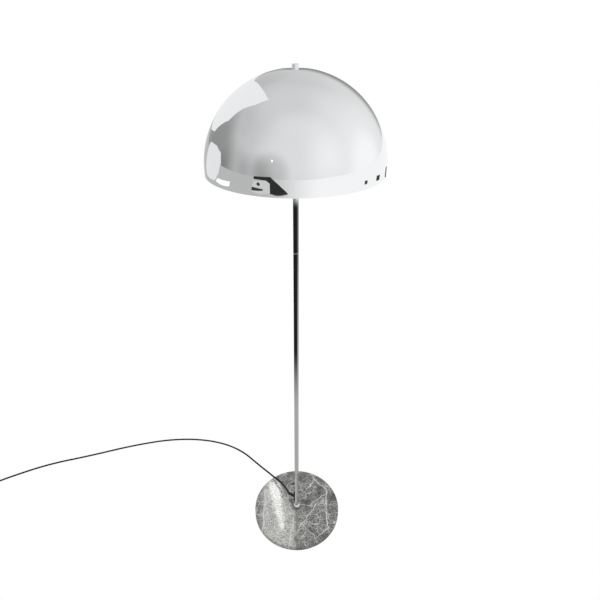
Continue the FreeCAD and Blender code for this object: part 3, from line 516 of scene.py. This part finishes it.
# %% [markdown]
# The cord's jacket is extruded PVC: satin black, with the faint orange peel of the die, drawn at
# 1.2 mm. The tie is hook-and-loop tape: a wave texture in two directions gives its weave, drawn
# at 1 mm because the real 0.3 mm threads are too fine to show.
# %% Jacket and tape
finishes["cord_jacket"] = plain_finish("pvc_jacket", "#0A0A0A", "#121212", 1.2 * mm, (0.42, 0.55), 0.00004,
                                       Specular_IOR_Level=0.25)
tape, tree, shader, place = start_material("hook_and_loop_tape", Roughness=0.95, Sheen_Weight=0.4)
threads = [add(tree, "ShaderNodeTexWave", {"Vector": place, "Scale": 1 / (6.3 * mm), "Distortion": 0.6},
               bands_direction=axis).outputs["Fac"] for axis in ("X", "Y", "Z")]
crossed = add(tree, "ShaderNodeMath", {0: threads[0], 1: threads[1]}, operation="MULTIPLY").outputs[0]
weave = add(tree, "ShaderNodeMath", {0: crossed, 1: threads[2]}, operation="ADD").outputs[0]
thread_share = add(tree, "ShaderNodeMapRange", {"Value": weave, "From Min": 0, "From Max": 1.6}).outputs[0]
woven = add(tree, "ShaderNodeMix", {0: thread_share, 6: linear("#0B0B0B"), 7: linear("#242424")},
            **colours).outputs[2]
raised = add(tree, "ShaderNodeBump", {"Height": weave, "Distance": 0.0003, "Strength": 1}).outputs[0]
tree.links.new(woven, shader.inputs["Base Color"])
tree.links.new(raised, shader.inputs["Normal"])
flex_curve.materials.append(finishes["cord_jacket"])
finishes["tie_fabric"] = tape
finishes["chrome_plate"] = turned_chrome
finishes["grey_marble"] = marble


def dress(material, *nodes):
    """Gives measured pieces their finish."""
    for name in nodes:
        for slot in frame["nodes"][name].material_slots:
            slot.material = material


subparts = frame["record"]["subparts"]
for row in subparts:
    dress(finishes[row["material_slot"]], row["node"])
print("all", len(subparts), "measured pieces have a finish")

# %% [markdown]
# ## Turning on a lathe
# Most of this lamp is round, so one helper turns an outline of (radius, height) points about the
# upright axis. A third number on a point rounds that corner, as a real edge is never quite
# sharp. Blender's Screw modifier could do it, but writing the rings keeps every size in view.
# %% The lathe


def soften(outline, steps=5):
    """Replaces each corner that has a rounding radius by a short arc, with a point close to each end."""
    points = []
    for k, (r, z, *rounding) in enumerate(outline):
        here = Vector((r, z))
        if not rounding:
            points.append(here)
            continue
        back = Vector(outline[k - 1][:2]) - here
        ahead = Vector(outline[(k + 1) % len(outline)][:2]) - here
        half = back.angle(ahead) / 2
        back.normalize()
        ahead.normalize()
        run = rounding[0] / math.tan(half)
        centre = here + (back + ahead).normalized() * rounding[0] / math.sin(half)
        first, last = here + back * run - centre, here + ahead * run - centre
        points.append(here + back * run * 1.01)
        for step in range(steps + 1):
            toward = first.normalized().slerp(last.normalized(), step / steps)
            points.append(centre + toward * rounding[0])
        points.append(here + ahead * run * 1.01)
    return points


def lathe(name, outline, material, around=96, place=None, scale=mm):
    """A closed solid of revolution from an outline in millimetres, in mesh form."""
    profile = soften(outline)
    form = bmesh.new()
    rings = []
    for r, z in profile:
        if r < 1e-6:
            rings.append([form.verts.new((0, 0, z * scale))])
            continue
        rings.append([form.verts.new((r * scale * math.cos(a), r * scale * math.sin(a), z * scale))
                      for a in (2 * math.pi * k / around for k in range(around))])
    for lower, upper in zip(rings, rings[1:] + rings[:1]):
        for k in range(around):
            corners = [lower[k % len(lower)], lower[(k + 1) % len(lower)],
                       upper[(k + 1) % len(upper)], upper[k % len(upper)]]
            corners = list(dict.fromkeys(corners))
            if len(corners) > 2:
                form.faces.new(corners)
    bmesh.ops.recalc_face_normals(form, faces=form.faces)
    return finish_piece(name, form, material, place)


def finish_piece(name, form, material, place=None):
    """Turns a bmesh into a smooth object whose place is in its mesh."""
    mesh = bpy.data.meshes.new(name)
    form.to_mesh(mesh)
    form.free()
    if place is not None:
        mesh.transform(place)
    mesh.shade_smooth()
    mesh.set_sharp_from_angle(angle=math.radians(38))
    mesh.materials.append(material)
    piece = bpy.data.objects.new(name, mesh)
    bpy.context.scene.collection.objects.link(piece)
    return piece


def stand_for(piece, body, slot, *nodes):
    """A piece rides on a body and replaces measured pieces. Its slot is not used."""
    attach(piece, body)
    if nodes:
        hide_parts(*nodes)
    print(piece.name, len(piece.data.polygons), "faces")
    return piece


def low_of(node):
    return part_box(node)[0].z / mm


def high_of(node):
    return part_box(node)[1].z / mm


def radius_of(node):
    low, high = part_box(node)
    return (high.y - low.y) / 2 / mm


# %% [markdown]
# ## The marble slab
# A disc sawn from a slab, ground round, and polished with a small rounded edge above and a fine
# chamfer below. It has a counterbore underneath for the bolt. It is turned in one outline.
# %% Base
slab_low, slab_high, slab_radius = low_of("marble_base"), high_of("marble_base"), radius_of("marble_base")
bolt_hole, counterbore, counterbore_depth = 4.3, 22, 9
marble_slab = lathe("marble_slab", [
    (bolt_hole, slab_low + counterbore_depth), (bolt_hole, slab_high), (slab_radius, slab_high, 1.5),
    (slab_radius, slab_low, 1.0), (counterbore, slab_low), (counterbore, slab_low + counterbore_depth)],
    marble, around=256)
stand_for(marble_slab, "stand", "grey_marble", "marble_base")

# %% [markdown]
# ## The stem
# Two lengths of chromed tube meet at a thin ring two thirds of the way up, with a fine chamfer
# each side that catches the light. The foot sits in a turned collar on a thin rubber gasket.
# %% Tubes, ring and collar
tube_radius, bore = radius_of("upper_tube"), radius_of("upper_tube") - 1
for name, node, bottom_edge, top_edge in (("stem_lower", "lower_tube", 0.05, 0.5),
                                          ("stem_upper", "upper_tube", 0.5, 0.05)):
    low, high = low_of(node), high_of(node)
    tube = lathe(name, [(bore, low), (bore, high), (tube_radius - top_edge, high),
                        (tube_radius, high - top_edge), (tube_radius, low + bottom_edge),
                        (tube_radius - bottom_edge, low)], chrome_plate)
    stand_for(tube, "stand", "chrome_plate", node)
seam = high_of("lower_tube")
spigot_radius, spigot_bore, ring_height = 5.9, 3.2, 2
spigot_low, spigot_high = seam - 26, seam + 28
seam_ring = lathe("seam_ring", [
    (spigot_bore, spigot_low), (spigot_bore, spigot_high), (spigot_radius, spigot_high),
    (spigot_radius, seam + ring_height), (tube_radius, seam + ring_height, 0.15), (tube_radius, seam, 0.15),
    (spigot_radius, seam), (spigot_radius, spigot_low)], chrome_plate)
stand_for(seam_ring, "stand", "chrome_plate", "stem_joiner")
collar_low, collar_high = low_of("foot_collar"), high_of("foot_collar")
collar_radius = radius_of("foot_collar")
foot_ring = lathe("foot_ring", [
    (tube_radius + 0.05, collar_low), (tube_radius + 0.05, collar_high),
    (collar_radius - 1.2, collar_high, 0.5), (collar_radius - 1.2, collar_high - 1.2, 0.3),
    (collar_radius, collar_high - 1.2, 1.0),
    (collar_radius, collar_low + 1, 0.4), (collar_radius - 0.8, collar_low)], chrome_plate)
stand_for(foot_ring, "stand", "chrome_plate", "foot_collar")

# %% [markdown]
# ## The dome
# The shade is a disc of steel spun over a form, so one rule gives its whole shape: a quarter of
# an ellipse turned about the stem, a straight skirt at the rim and a small flat spot on top. Spin
# or a lathe would do, but as Geometry Nodes a flat grid is bent by that rule: its width becomes
# the angle round the axis, and its height runs up the skirt, the crown and the flat. Each size
# is a named input, so another shade is made by typing other numbers.
# %% Build the dome's tree
dome_tree = bpy.data.node_groups.new("spun_dome", "GeometryNodeTree")
dome_tree.is_modifier = True
dome_tree.interface.new_socket("Geometry", in_out="INPUT", socket_type="NodeSocketGeometry")
for name in ("Radius", "Crown Rise", "Skirt Height", "Rim Height", "Flat Radius", "Hole Radius"):
    dome_tree.interface.new_socket(name, in_out="INPUT", socket_type="NodeSocketFloat")
for name in ("Around", "Up"):
    dome_tree.interface.new_socket(name, in_out="INPUT", socket_type="NodeSocketInt")
dome_tree.interface.new_socket("Material", in_out="INPUT", socket_type="NodeSocketMaterial")
dome_tree.interface.new_socket("Geometry", in_out="OUTPUT", socket_type="NodeSocketGeometry")
given = add(dome_tree, "NodeGroupInput").outputs
grid = add(dome_tree, "GeometryNodeMeshGrid", {"Size X": 1.0, "Size Y": 1.0, "Vertices X": given["Around"],
                                               "Vertices Y": given["Up"]}).outputs["Mesh"]
flat_place = add(dome_tree, "GeometryNodeInputPosition").outputs[0]
across, upward, _ = add(dome_tree, "ShaderNodeSeparateXYZ", {0: flat_place}).outputs
skirt_end, crown_end = 0.04, 0.94    # the shares of the grid's height where skirt and crown end
terms = {"across": across, "upward": upward}
for label in ("Radius", "Crown Rise", "Skirt Height", "Rim Height", "Flat Radius", "Hole Radius"):
    terms[label] = given[label]
# Each row is one Math node: its result, its operation, and the results or numbers that it takes.
for result, operation, *values in (
        ("turn", "MULTIPLY", "across", 2 * math.pi), ("way up", "ADD", "upward", 0.5),
        ("skirt share", "DIVIDE", "way up", skirt_end), ("past skirt", "SUBTRACT", "way up", skirt_end),
        ("crown share", "DIVIDE", "past skirt", crown_end - skirt_end),
        ("past crown", "SUBTRACT", "way up", crown_end),
        ("flat share", "DIVIDE", "past crown", 1 - crown_end),
        ("flat cosine", "DIVIDE", "Flat Radius", "Radius"), ("last angle", "ARCCOSINE", "flat cosine"),
        ("last sine", "SINE", "last angle"), ("full rise", "DIVIDE", "Crown Rise", "last sine"),
        ("angle", "MULTIPLY", "crown share", "last angle"), ("angle sine", "SINE", "angle"),
        ("crown height", "MULTIPLY", "full rise", "angle sine"),
        ("skirt rise", "MULTIPLY", "Skirt Height", "skirt share"),
        ("skirt top", "ADD", "Rim Height", "skirt rise"),
        ("height", "ADD", "skirt top", "crown height"), ("angle cosine", "COSINE", "angle"),
        ("crown radius", "MULTIPLY", "Radius", "angle cosine"),
        ("flat width", "SUBTRACT", "Flat Radius", "Hole Radius"),
        ("drawn in", "MULTIPLY", "flat width", "flat share"), ("out", "SUBTRACT", "crown radius", "drawn in"),
        ("turn cosine", "COSINE", "turn"), ("turn sine", "SINE", "turn"),
        ("x", "MULTIPLY", "out", "turn cosine"), ("y", "MULTIPLY", "out", "turn sine")):
    terms[result] = add(dome_tree, "ShaderNodeMath", {k: terms.get(v, v) for k, v in enumerate(values)},
                        operation=operation, use_clamp=result.endswith("share")).outputs[0]
bent_place = add(dome_tree, "ShaderNodeCombineXYZ",
                 {"X": terms["x"], "Y": terms["y"], "Z": terms["height"]}).outputs[0]
spun = add(dome_tree, "GeometryNodeSetPosition", {"Geometry": grid, "Position": bent_place}).outputs[0]
closed = add(dome_tree, "GeometryNodeMergeByDistance", {"Geometry": spun, "Distance": 0.00001}).outputs[0]
real = add(dome_tree, "GeometryNodeRealizeInstances", {"Geometry": closed}).outputs[0]
coloured = add(dome_tree, "GeometryNodeSetMaterial",
               {"Geometry": real, "Material": given["Material"]}).outputs[0]
add(dome_tree, "NodeGroupOutput", {0: coloured})
print("the dome's tree has", len(dome_tree.nodes), "nodes")

# %% [markdown]
# The tree runs once on an empty mesh. Its result is stored as a plain mesh, turned so that its
# faces point outwards, and thickened inwards by the metal's one millimetre with Solidify.
# %% Spin the dome


def run_tree(name, tree, **values):
    """Runs a node tree on an empty mesh with named inputs, and keeps the result as a mesh."""
    holder = bpy.data.objects.new(name, bpy.data.meshes.new(name))
    bpy.context.scene.collection.objects.link(holder)
    modifier = holder.modifiers.new(name, "NODES")
    modifier.node_group = tree
    for item in tree.interface.items_tree:
        label = item.name.replace(" ", "_")
        if item.in_out == "INPUT" and label in values:
            modifier[item.identifier] = values[label]
    seen = holder.evaluated_get(bpy.context.evaluated_depsgraph_get())
    result = bpy.data.meshes.new_from_object(seen)
    holder.modifiers.clear()
    holder.data = result
    return holder


dome_radius, dome_rim, dome_top = radius_of("dome_shade"), low_of("dome_shade"), high_of("dome_shade")
skirt_height, flat_radius, hole_radius, wall = 11, 30, 5.3, 1.0
crown_rise = dome_top - dome_rim - skirt_height
mirror_dome = run_tree("mirror_dome", dome_tree, Radius=dome_radius * mm, Crown_Rise=crown_rise * mm,
                       Skirt_Height=skirt_height * mm, Rim_Height=dome_rim * mm, Flat_Radius=flat_radius * mm,
                       Hole_Radius=hole_radius * mm, Around=241, Up=81, Material=chrome_plate)
form = bmesh.new()
form.from_mesh(mirror_dome.data)
bmesh.ops.recalc_face_normals(form, faces=form.faces)
top_face = max(form.faces, key=lambda face: face.calc_center_median().z)
if top_face.normal.z < 0:
    bmesh.ops.reverse_faces(form, faces=form.faces)
for edge in form.edges:
    edge.smooth = not edge.is_boundary
form.to_mesh(mirror_dome.data)
form.free()
mirror_dome.data.shade_smooth()
thicken = mirror_dome.modifiers.new("wall", "SOLIDIFY")
thicken.thickness = wall * mm
thicken.offset = -1
thicken.use_even_offset = True
stand_for(mirror_dome, "dome", "chrome_plate", "dome_shade")

# %% [markdown]
# The spinner folds the rim back inside, so that it isn't sharp. The fold is a narrow inner band
# with a rounded lower edge, a hair inside the skirt.
# %% Fold the rim
fold_outer, fold_inner = dome_radius - wall, dome_radius - 2 * wall
fold_high = dome_rim + 6
rim_fold = lathe("rim_fold", [(fold_outer, dome_rim + 0.3), (fold_outer, fold_high),
                              (fold_inner, fold_high, 0.3), (fold_inner, dome_rim + 0.1, 0.4)],
                 chrome_plate, around=240)
stand_for(rim_fold, "dome", "chrome_plate")

# %% [markdown]
# ## The knob on top
# A small turned cap nut clamps the dome. Its sides have a fine straight knurl for the fingers,
# which a wheel rolls into the metal; the crown above it is smooth and rounded, and a thin washer
# lies below. The knurl is one small ridge that Geometry Nodes repeat round a circle.
# %% Turn the knob
knob_low, knob_high, knob_radius = low_of("top_knob"), high_of("top_knob"), radius_of("top_knob")
washer_low = low_of("top_washer")
knob_core = lathe("knob_core", [
    (0, knob_low), (knob_radius - 0.4, knob_low, 0.3), (knob_radius - 0.4, knob_low + 1.2, 0.15),
    (knob_radius - 0.9, knob_low + 1.6), (knob_radius - 0.9, knob_high - 2.8),
    (knob_radius, knob_high - 2.4, 0.2),
    (knob_radius, knob_high, 1.5), (0, knob_high)], chrome_plate, around=96)
stand_for(knob_core, "knob", "chrome_plate", "top_knob")
knob_washer = lathe("knob_washer", [(5.2, washer_low), (5.2, knob_low), (knob_radius - 0.5, knob_low, 0.2),
                                    (knob_radius - 0.5, washer_low, 0.2)], chrome_plate)
stand_for(knob_washer, "knob", "chrome_plate", "top_washer")

# %% [markdown]
# The same tree serves every ring of small things on this lamp: it puts one made piece at evenly
# spaced places on a circle, turned to face outwards, then makes them real and gives the finish.
# %% A tree that repeats a piece round a circle
ring_tree = bpy.data.node_groups.new("ring_of_pieces", "GeometryNodeTree")
ring_tree.is_modifier = True
ring_tree.interface.new_socket("Geometry", in_out="INPUT", socket_type="NodeSocketGeometry")
for name, kind in (("Piece", "Object"), ("Count", "Int"), ("Radius", "Float"), ("Start", "Float"),
                   ("Material", "Material")):
    ring_tree.interface.new_socket(name, in_out="INPUT", socket_type=f"NodeSocket{kind}")
ring_tree.interface.new_socket("Geometry", in_out="OUTPUT", socket_type="NodeSocketGeometry")
given = add(ring_tree, "NodeGroupInput").outputs
circle = add(ring_tree, "GeometryNodeMeshCircle",
             {"Vertices": given["Count"], "Radius": given["Radius"]}).outputs[0]
number = add(ring_tree, "GeometryNodeInputIndex").outputs[0]
step_angle = add(ring_tree, "ShaderNodeMath", {0: 2 * math.pi, 1: given["Count"]},
                 operation="DIVIDE").outputs[0]
facing = add(ring_tree, "ShaderNodeMath", {0: number, 1: step_angle}, operation="MULTIPLY").outputs[0]
turned_out = add(ring_tree, "ShaderNodeCombineXYZ", {"Z": facing}).outputs[0]
made = add(ring_tree, "GeometryNodeObjectInfo", {"Object": given["Piece"]}).outputs["Geometry"]
copies = add(ring_tree, "GeometryNodeInstanceOnPoints", {"Points": circle, "Instance": made,
                                                         "Rotation": turned_out}).outputs[0]
start_turn = add(ring_tree, "ShaderNodeCombineXYZ", {"Z": given["Start"]}).outputs[0]
real = add(ring_tree, "GeometryNodeRealizeInstances", {"Geometry": copies}).outputs[0]
started = add(ring_tree, "GeometryNodeTransform", {"Geometry": real, "Rotation": start_turn}).outputs[0]
coloured = add(ring_tree, "GeometryNodeSetMaterial",
               {"Geometry": started, "Material": given["Material"]}).outputs[0]
add(ring_tree, "NodeGroupOutput", {0: coloured})


def ring_of(name, pattern, count, radius, material, place, start=0.0):
    """Repeats a pattern piece round a circle, lays the ring in place and removes the pattern."""
    ring = run_tree(name, ring_tree, Piece=pattern, Count=count, Radius=radius * mm, Start=start,
                    Material=material)
    bpy.data.objects.remove(pattern)
    ring.data.transform(place)
    ring.data.shade_smooth()
    ring.data.set_sharp_from_angle(angle=math.radians(38))
    return ring


def rib(name, half_width, proud, length, material):
    """A rounded rib along Z that stands out towards +X from the origin, with its ends drawn in."""
    form = bmesh.new()
    rings = []
    for z, share in ((0, 0.0), (0.12, 0.75), (0.3, 1.0), (0.7, 1.0), (0.88, 0.75), (1, 0.0)):
        rings.append([form.verts.new((proud * share * math.sin(a) * mm - 0.1 * mm,
                                      half_width * math.cos(a) * mm, z * length * mm))
                      for a in (math.pi * k / 5 for k in range(6))])
    for lower, upper in zip(rings, rings[1:]):
        for k in range(5):
            form.faces.new((lower[k], lower[k + 1], upper[k + 1], upper[k]))
        form.faces.new((lower[5], lower[0], upper[0], upper[5]))
    form.faces.new(rings[0])
    form.faces.new(rings[-1][::-1])
    bmesh.ops.remove_doubles(form, verts=form.verts, dist=1e-7)
    bmesh.ops.recalc_face_normals(form, faces=form.faces)
    return finish_piece(name, form, material)


flutes, grip_radius, grip_low = 16, knob_radius - 0.9, knob_low + 1.6
ridge = rib("ridge", 1.15, 0.85, knob_high - knob_low - 4.4, chrome_plate)
knurl = ring_of("knob_knurl", ridge, flutes, grip_radius, chrome_plate,
                Matrix.Translation((0, 0, grip_low * mm)))
stand_for(knurl, "knob", "chrome_plate")

# %% [markdown]
# ## Threads
# The rod, and the screw caps of the bulbs, carry a thread. A thread is a round ridge wound along
# a spiral. Geometry Nodes draw the spiral from a radius, a pitch and a number of turns, and
# sweep a small circle along it. A stack of rings would be cheaper but wouldn't climb.
# %% A tree that winds a thread
thread_tree = bpy.data.node_groups.new("wound_thread", "GeometryNodeTree")
thread_tree.is_modifier = True
thread_tree.interface.new_socket("Geometry", in_out="INPUT", socket_type="NodeSocketGeometry")
for name, kind in (("Radius", "Float"), ("Pitch", "Float"), ("Turns", "Float"), ("Ridge", "Float"),
                   ("Material", "Material")):
    thread_tree.interface.new_socket(name, in_out="INPUT", socket_type=f"NodeSocket{kind}")
thread_tree.interface.new_socket("Geometry", in_out="OUTPUT", socket_type="NodeSocketGeometry")
given = add(thread_tree, "NodeGroupInput").outputs
climb = add(thread_tree, "ShaderNodeMath", {0: given["Pitch"], 1: given["Turns"]},
            operation="MULTIPLY").outputs[0]
spiral = add(thread_tree, "GeometryNodeCurveSpiral", {
    "Resolution": 32, "Rotations": given["Turns"], "Start Radius": given["Radius"],
    "End Radius": given["Radius"], "Height": climb}).outputs[0]
ridge_circle = add(thread_tree, "GeometryNodeCurvePrimitiveCircle",
                   {"Resolution": 6, "Radius": given["Ridge"]}, mode="RADIUS").outputs[0]
swept = add(thread_tree, "GeometryNodeCurveToMesh", {"Curve": spiral, "Profile Curve": ridge_circle,
                                                     "Fill Caps": True}).outputs[0]
real = add(thread_tree, "GeometryNodeRealizeInstances", {"Geometry": swept}).outputs[0]
coloured = add(thread_tree, "GeometryNodeSetMaterial",
               {"Geometry": real, "Material": given["Material"]}).outputs[0]
add(thread_tree, "NodeGroupOutput", {0: coloured})


def thread(name, radius, pitch, turns, ridge, material, place):
    """A wound ridge, its middle on the given radius, laid in place."""
    piece = run_tree(name, thread_tree, Radius=radius * mm, Pitch=pitch * mm, Turns=turns, Ridge=ridge * mm,
                     Material=material)
    form = bmesh.new()
    form.from_mesh(piece.data)
    bmesh.ops.recalc_face_normals(form, faces=form.faces)
    form.to_mesh(piece.data)
    form.free()
    piece.data.transform(place)
    piece.data.shade_smooth()
    return piece


rod_low, rod_high, rod_radius = low_of("dome_rod"), high_of("dome_rod"), radius_of("dome_rod")
root_radius = rod_radius - 0.45
rod_core = lathe("rod_core", [(0, rod_low), (root_radius, rod_low, 0.3), (root_radius, rod_high, 0.3),
                              (0, rod_high)], finishes["zinc_steel"], around=48)
stand_for(rod_core, "stand", "zinc_steel", "dome_rod")
rod_thread = thread("rod_thread", rod_radius - 0.5, 1.0, rod_high - rod_low - 3, 0.45, finishes["zinc_steel"],
                    Matrix.Translation((0, 0, (rod_low + 1.5) * mm)))
stand_for(rod_thread, "stand", "zinc_steel")

# %% [markdown]
# ## The hub
# A spun cup closes with a turned cover; three small screws with domed heads hold it from the
# side. Cup and cover are one outline each, and the ring tree sets the screws round the cup.
# %% Cup, cover and screws
hub_low, hub_high, hub_radius = low_of("hub_cup"), high_of("hub_cup"), radius_of("hub_cup")
cover_high = high_of("hub_cover")
hub_inner, hub_floor, lip_low = hub_radius - 1.5, hub_low + 2, hub_high - 4
hub_body = lathe("hub_body", [
    (5.1, hub_low), (5.1, hub_floor), (hub_inner, hub_floor), (hub_inner, hub_high),
    (hub_radius, hub_high, 0.3), (hub_radius, hub_low, 3.0)], chrome_plate, around=128)
stand_for(hub_body, "stand", "chrome_plate", "hub_cup")
hub_lid = lathe("hub_lid", [
    (5.2, hub_high), (5.2, cover_high), (hub_radius, cover_high, 1.2), (hub_radius, hub_high, 0.2),
    (hub_radius - 1.6, hub_high), (hub_radius - 1.6, lip_low), (hub_radius - 2.9, lip_low),
    (hub_radius - 2.9, hub_high)], chrome_plate, around=128)
stand_for(hub_lid, "stand", "chrome_plate", "hub_cover")
screw_shape = lathe("screw", [(0, -4.5), (0.9, -4.5), (0.9, 0), (1.5, 0), (1.5, 1.1, 0.9), (0, 1.1)],
                    finishes["zinc_steel"], around=24, place=Matrix.Rotation(math.radians(90), 4, "Y"))
screw_ring = ring_of("hub_screws", screw_shape, 3, hub_radius, finishes["zinc_steel"],
                     Matrix.Translation((0, 0, (hub_high - 2) * mm)), start=math.radians(90))
stand_for(screw_ring, "stand", "zinc_steel", "cover_screws")

# %% [markdown]
# ## Lampholders and bulbs
# On each side of the hub a moulded black lampholder points outwards. Its cap is ribbed for the
# fingers, and a skirt with a milled collar screws into it. The bulb has a screw cap with a
# wound thread and a round opal envelope. Everything is turned about its own upright axis, then
# laid on its side, so left and right come from the same lines.
# %% Left and right
socket_black, nickel, opal = finishes["holder_plastic"], finishes["nickel_cap"], finishes["opal_glass"]
arm_height = (hub_low + hub_high) / 2
# The envelope is a ball. Its outline starts where the neck meets it and ends at the pole.
ball_radius, ball_middle, neck_opening, ball_steps = 30, 96.8, 40, 28
ball = []
for k in range(ball_steps + 1):
    opening = math.radians(neck_opening + (180 - neck_opening) * k / ball_steps)
    ball.append((ball_radius * math.sin(opening) if k < ball_steps else 0,
                 ball_middle - ball_radius * math.cos(opening)))
cap_radius, cap_ribs, collar_ribs = 19.5, 40, 60
for side, sign in (("left", -1), ("right", 1)):
    arm = Matrix.Translation((sign * hub_radius * mm, 0, arm_height * mm)) @ Matrix.Rotation(
        sign * math.radians(90), 4, "Y")
    cap = lathe(f"holder_cap_{side}_body", [(5.2, 4), (5.2, 6), (18, 6), (18, 28), (cap_radius, 28, 0.4),
                                            (cap_radius, 4, 5.0)], socket_black, place=arm)
    stand_for(cap, "stand", "holder_plastic", f"holder_cap_{side}")
    grip = ring_of(f"holder_ribs_{side}", rib("rib", 0.55, 0.6, 15, socket_black), cap_ribs, cap_radius,
                   socket_black, arm @ Matrix.Translation((0, 0, 11.5 * mm)))
    stand_for(grip, "stand", "holder_plastic")
    skirt = lathe(f"holder_skirt_{side}_body", [
        (14.3, 20.5), (17.9, 20.5, 0.3), (17.9, 28.1), (cap_radius, 28.1, 0.3), (cap_radius, 33, 0.5),
        (18.5, 35, 1.0), (18.5, 56, 0.8), (16.5, 56, 0.6), (16.5, 49, 0.6), (14.3, 46.5)],
        socket_black, place=arm)
    stand_for(skirt, "stand", "holder_plastic", f"holder_skirt_{side}")
    milling = ring_of(f"holder_collar_{side}", rib("rib", 0.4, 0.5, 4.2, socket_black), collar_ribs,
                      cap_radius, socket_black, arm @ Matrix.Translation((0, 0, 28.5 * mm)))
    stand_for(milling, "stand", "holder_plastic")
    body = f"bulb_{side}"
    tin = lathe(f"bulb_cap_{side}_body", [
        (0, 25.8), (4.5, 25.8, 0.6), (5.5, 27.2, 0.4), (9, 27.6, 0.5), (12.15, 30, 1.0), (12.15, 45.2, 0.3),
        (13, 45.2, 0.2), (13, 46.8, 0.3), (0, 46.8)], nickel, place=arm)
    stand_for(tin, body, "nickel_cap", f"bulb_cap_{side}")
    wound = thread(f"bulb_thread_{side}", 12.1, 3.6, 3.9, 0.85, nickel,
                   arm @ Matrix.Translation((0, 0, 30.6 * mm)))
    stand_for(wound, body, "nickel_cap")
    globe = lathe(f"bulb_glass_{side}_body", [(0, 41), (12.4, 41), (12.5, 50, 6.0), (13.3, 58), (14.6, 63.5),
                                              (16.5, 68.6)] + ball, opal, around=128, place=arm)
    stand_for(globe, body, "opal_glass", f"bulb_glass_{side}")

# %% [markdown]
# ## The foot switch's button
# A round button stands out of the switch's cover. Its top has two shallow rings turned in the
# mould, which keep a shoe from sliding. It is one outline, so the rings are real grooves.
# %% Button
button_low, button_high = low_of("switch_button"), high_of("switch_button")
button_flange = radius_of("switch_button")
button_radius, groove_floor = 11, button_high - 0.4
button_disc = lathe("button_disc", [
    (0, button_low), (button_flange, button_low, 0.2), (button_flange, button_low + 1.1, 0.2),
    (button_radius, button_low + 1.2), (button_radius, button_high, 1.6), (8.4, button_high, 0.15),
    (8.1, groove_floor, 0.1), (7.5, groove_floor, 0.1), (7.2, button_high, 0.15), (4.4, button_high, 0.15),
    (4.1, groove_floor, 0.1), (3.5, groove_floor, 0.1), (3.2, button_high, 0.15), (0, button_high)],
    finishes["switch_plastic"], place=Matrix.Translation((switch_centre.x * mm, switch_centre.y * mm, 0)))
stand_for(button_disc, "button", "switch_plastic", "switch_button")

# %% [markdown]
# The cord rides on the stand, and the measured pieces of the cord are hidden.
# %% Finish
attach(mains_flex, "stand")
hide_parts("cord_run", "cord_middle", "cord_coil", "cord_end")
bpy.context.view_layer.update()
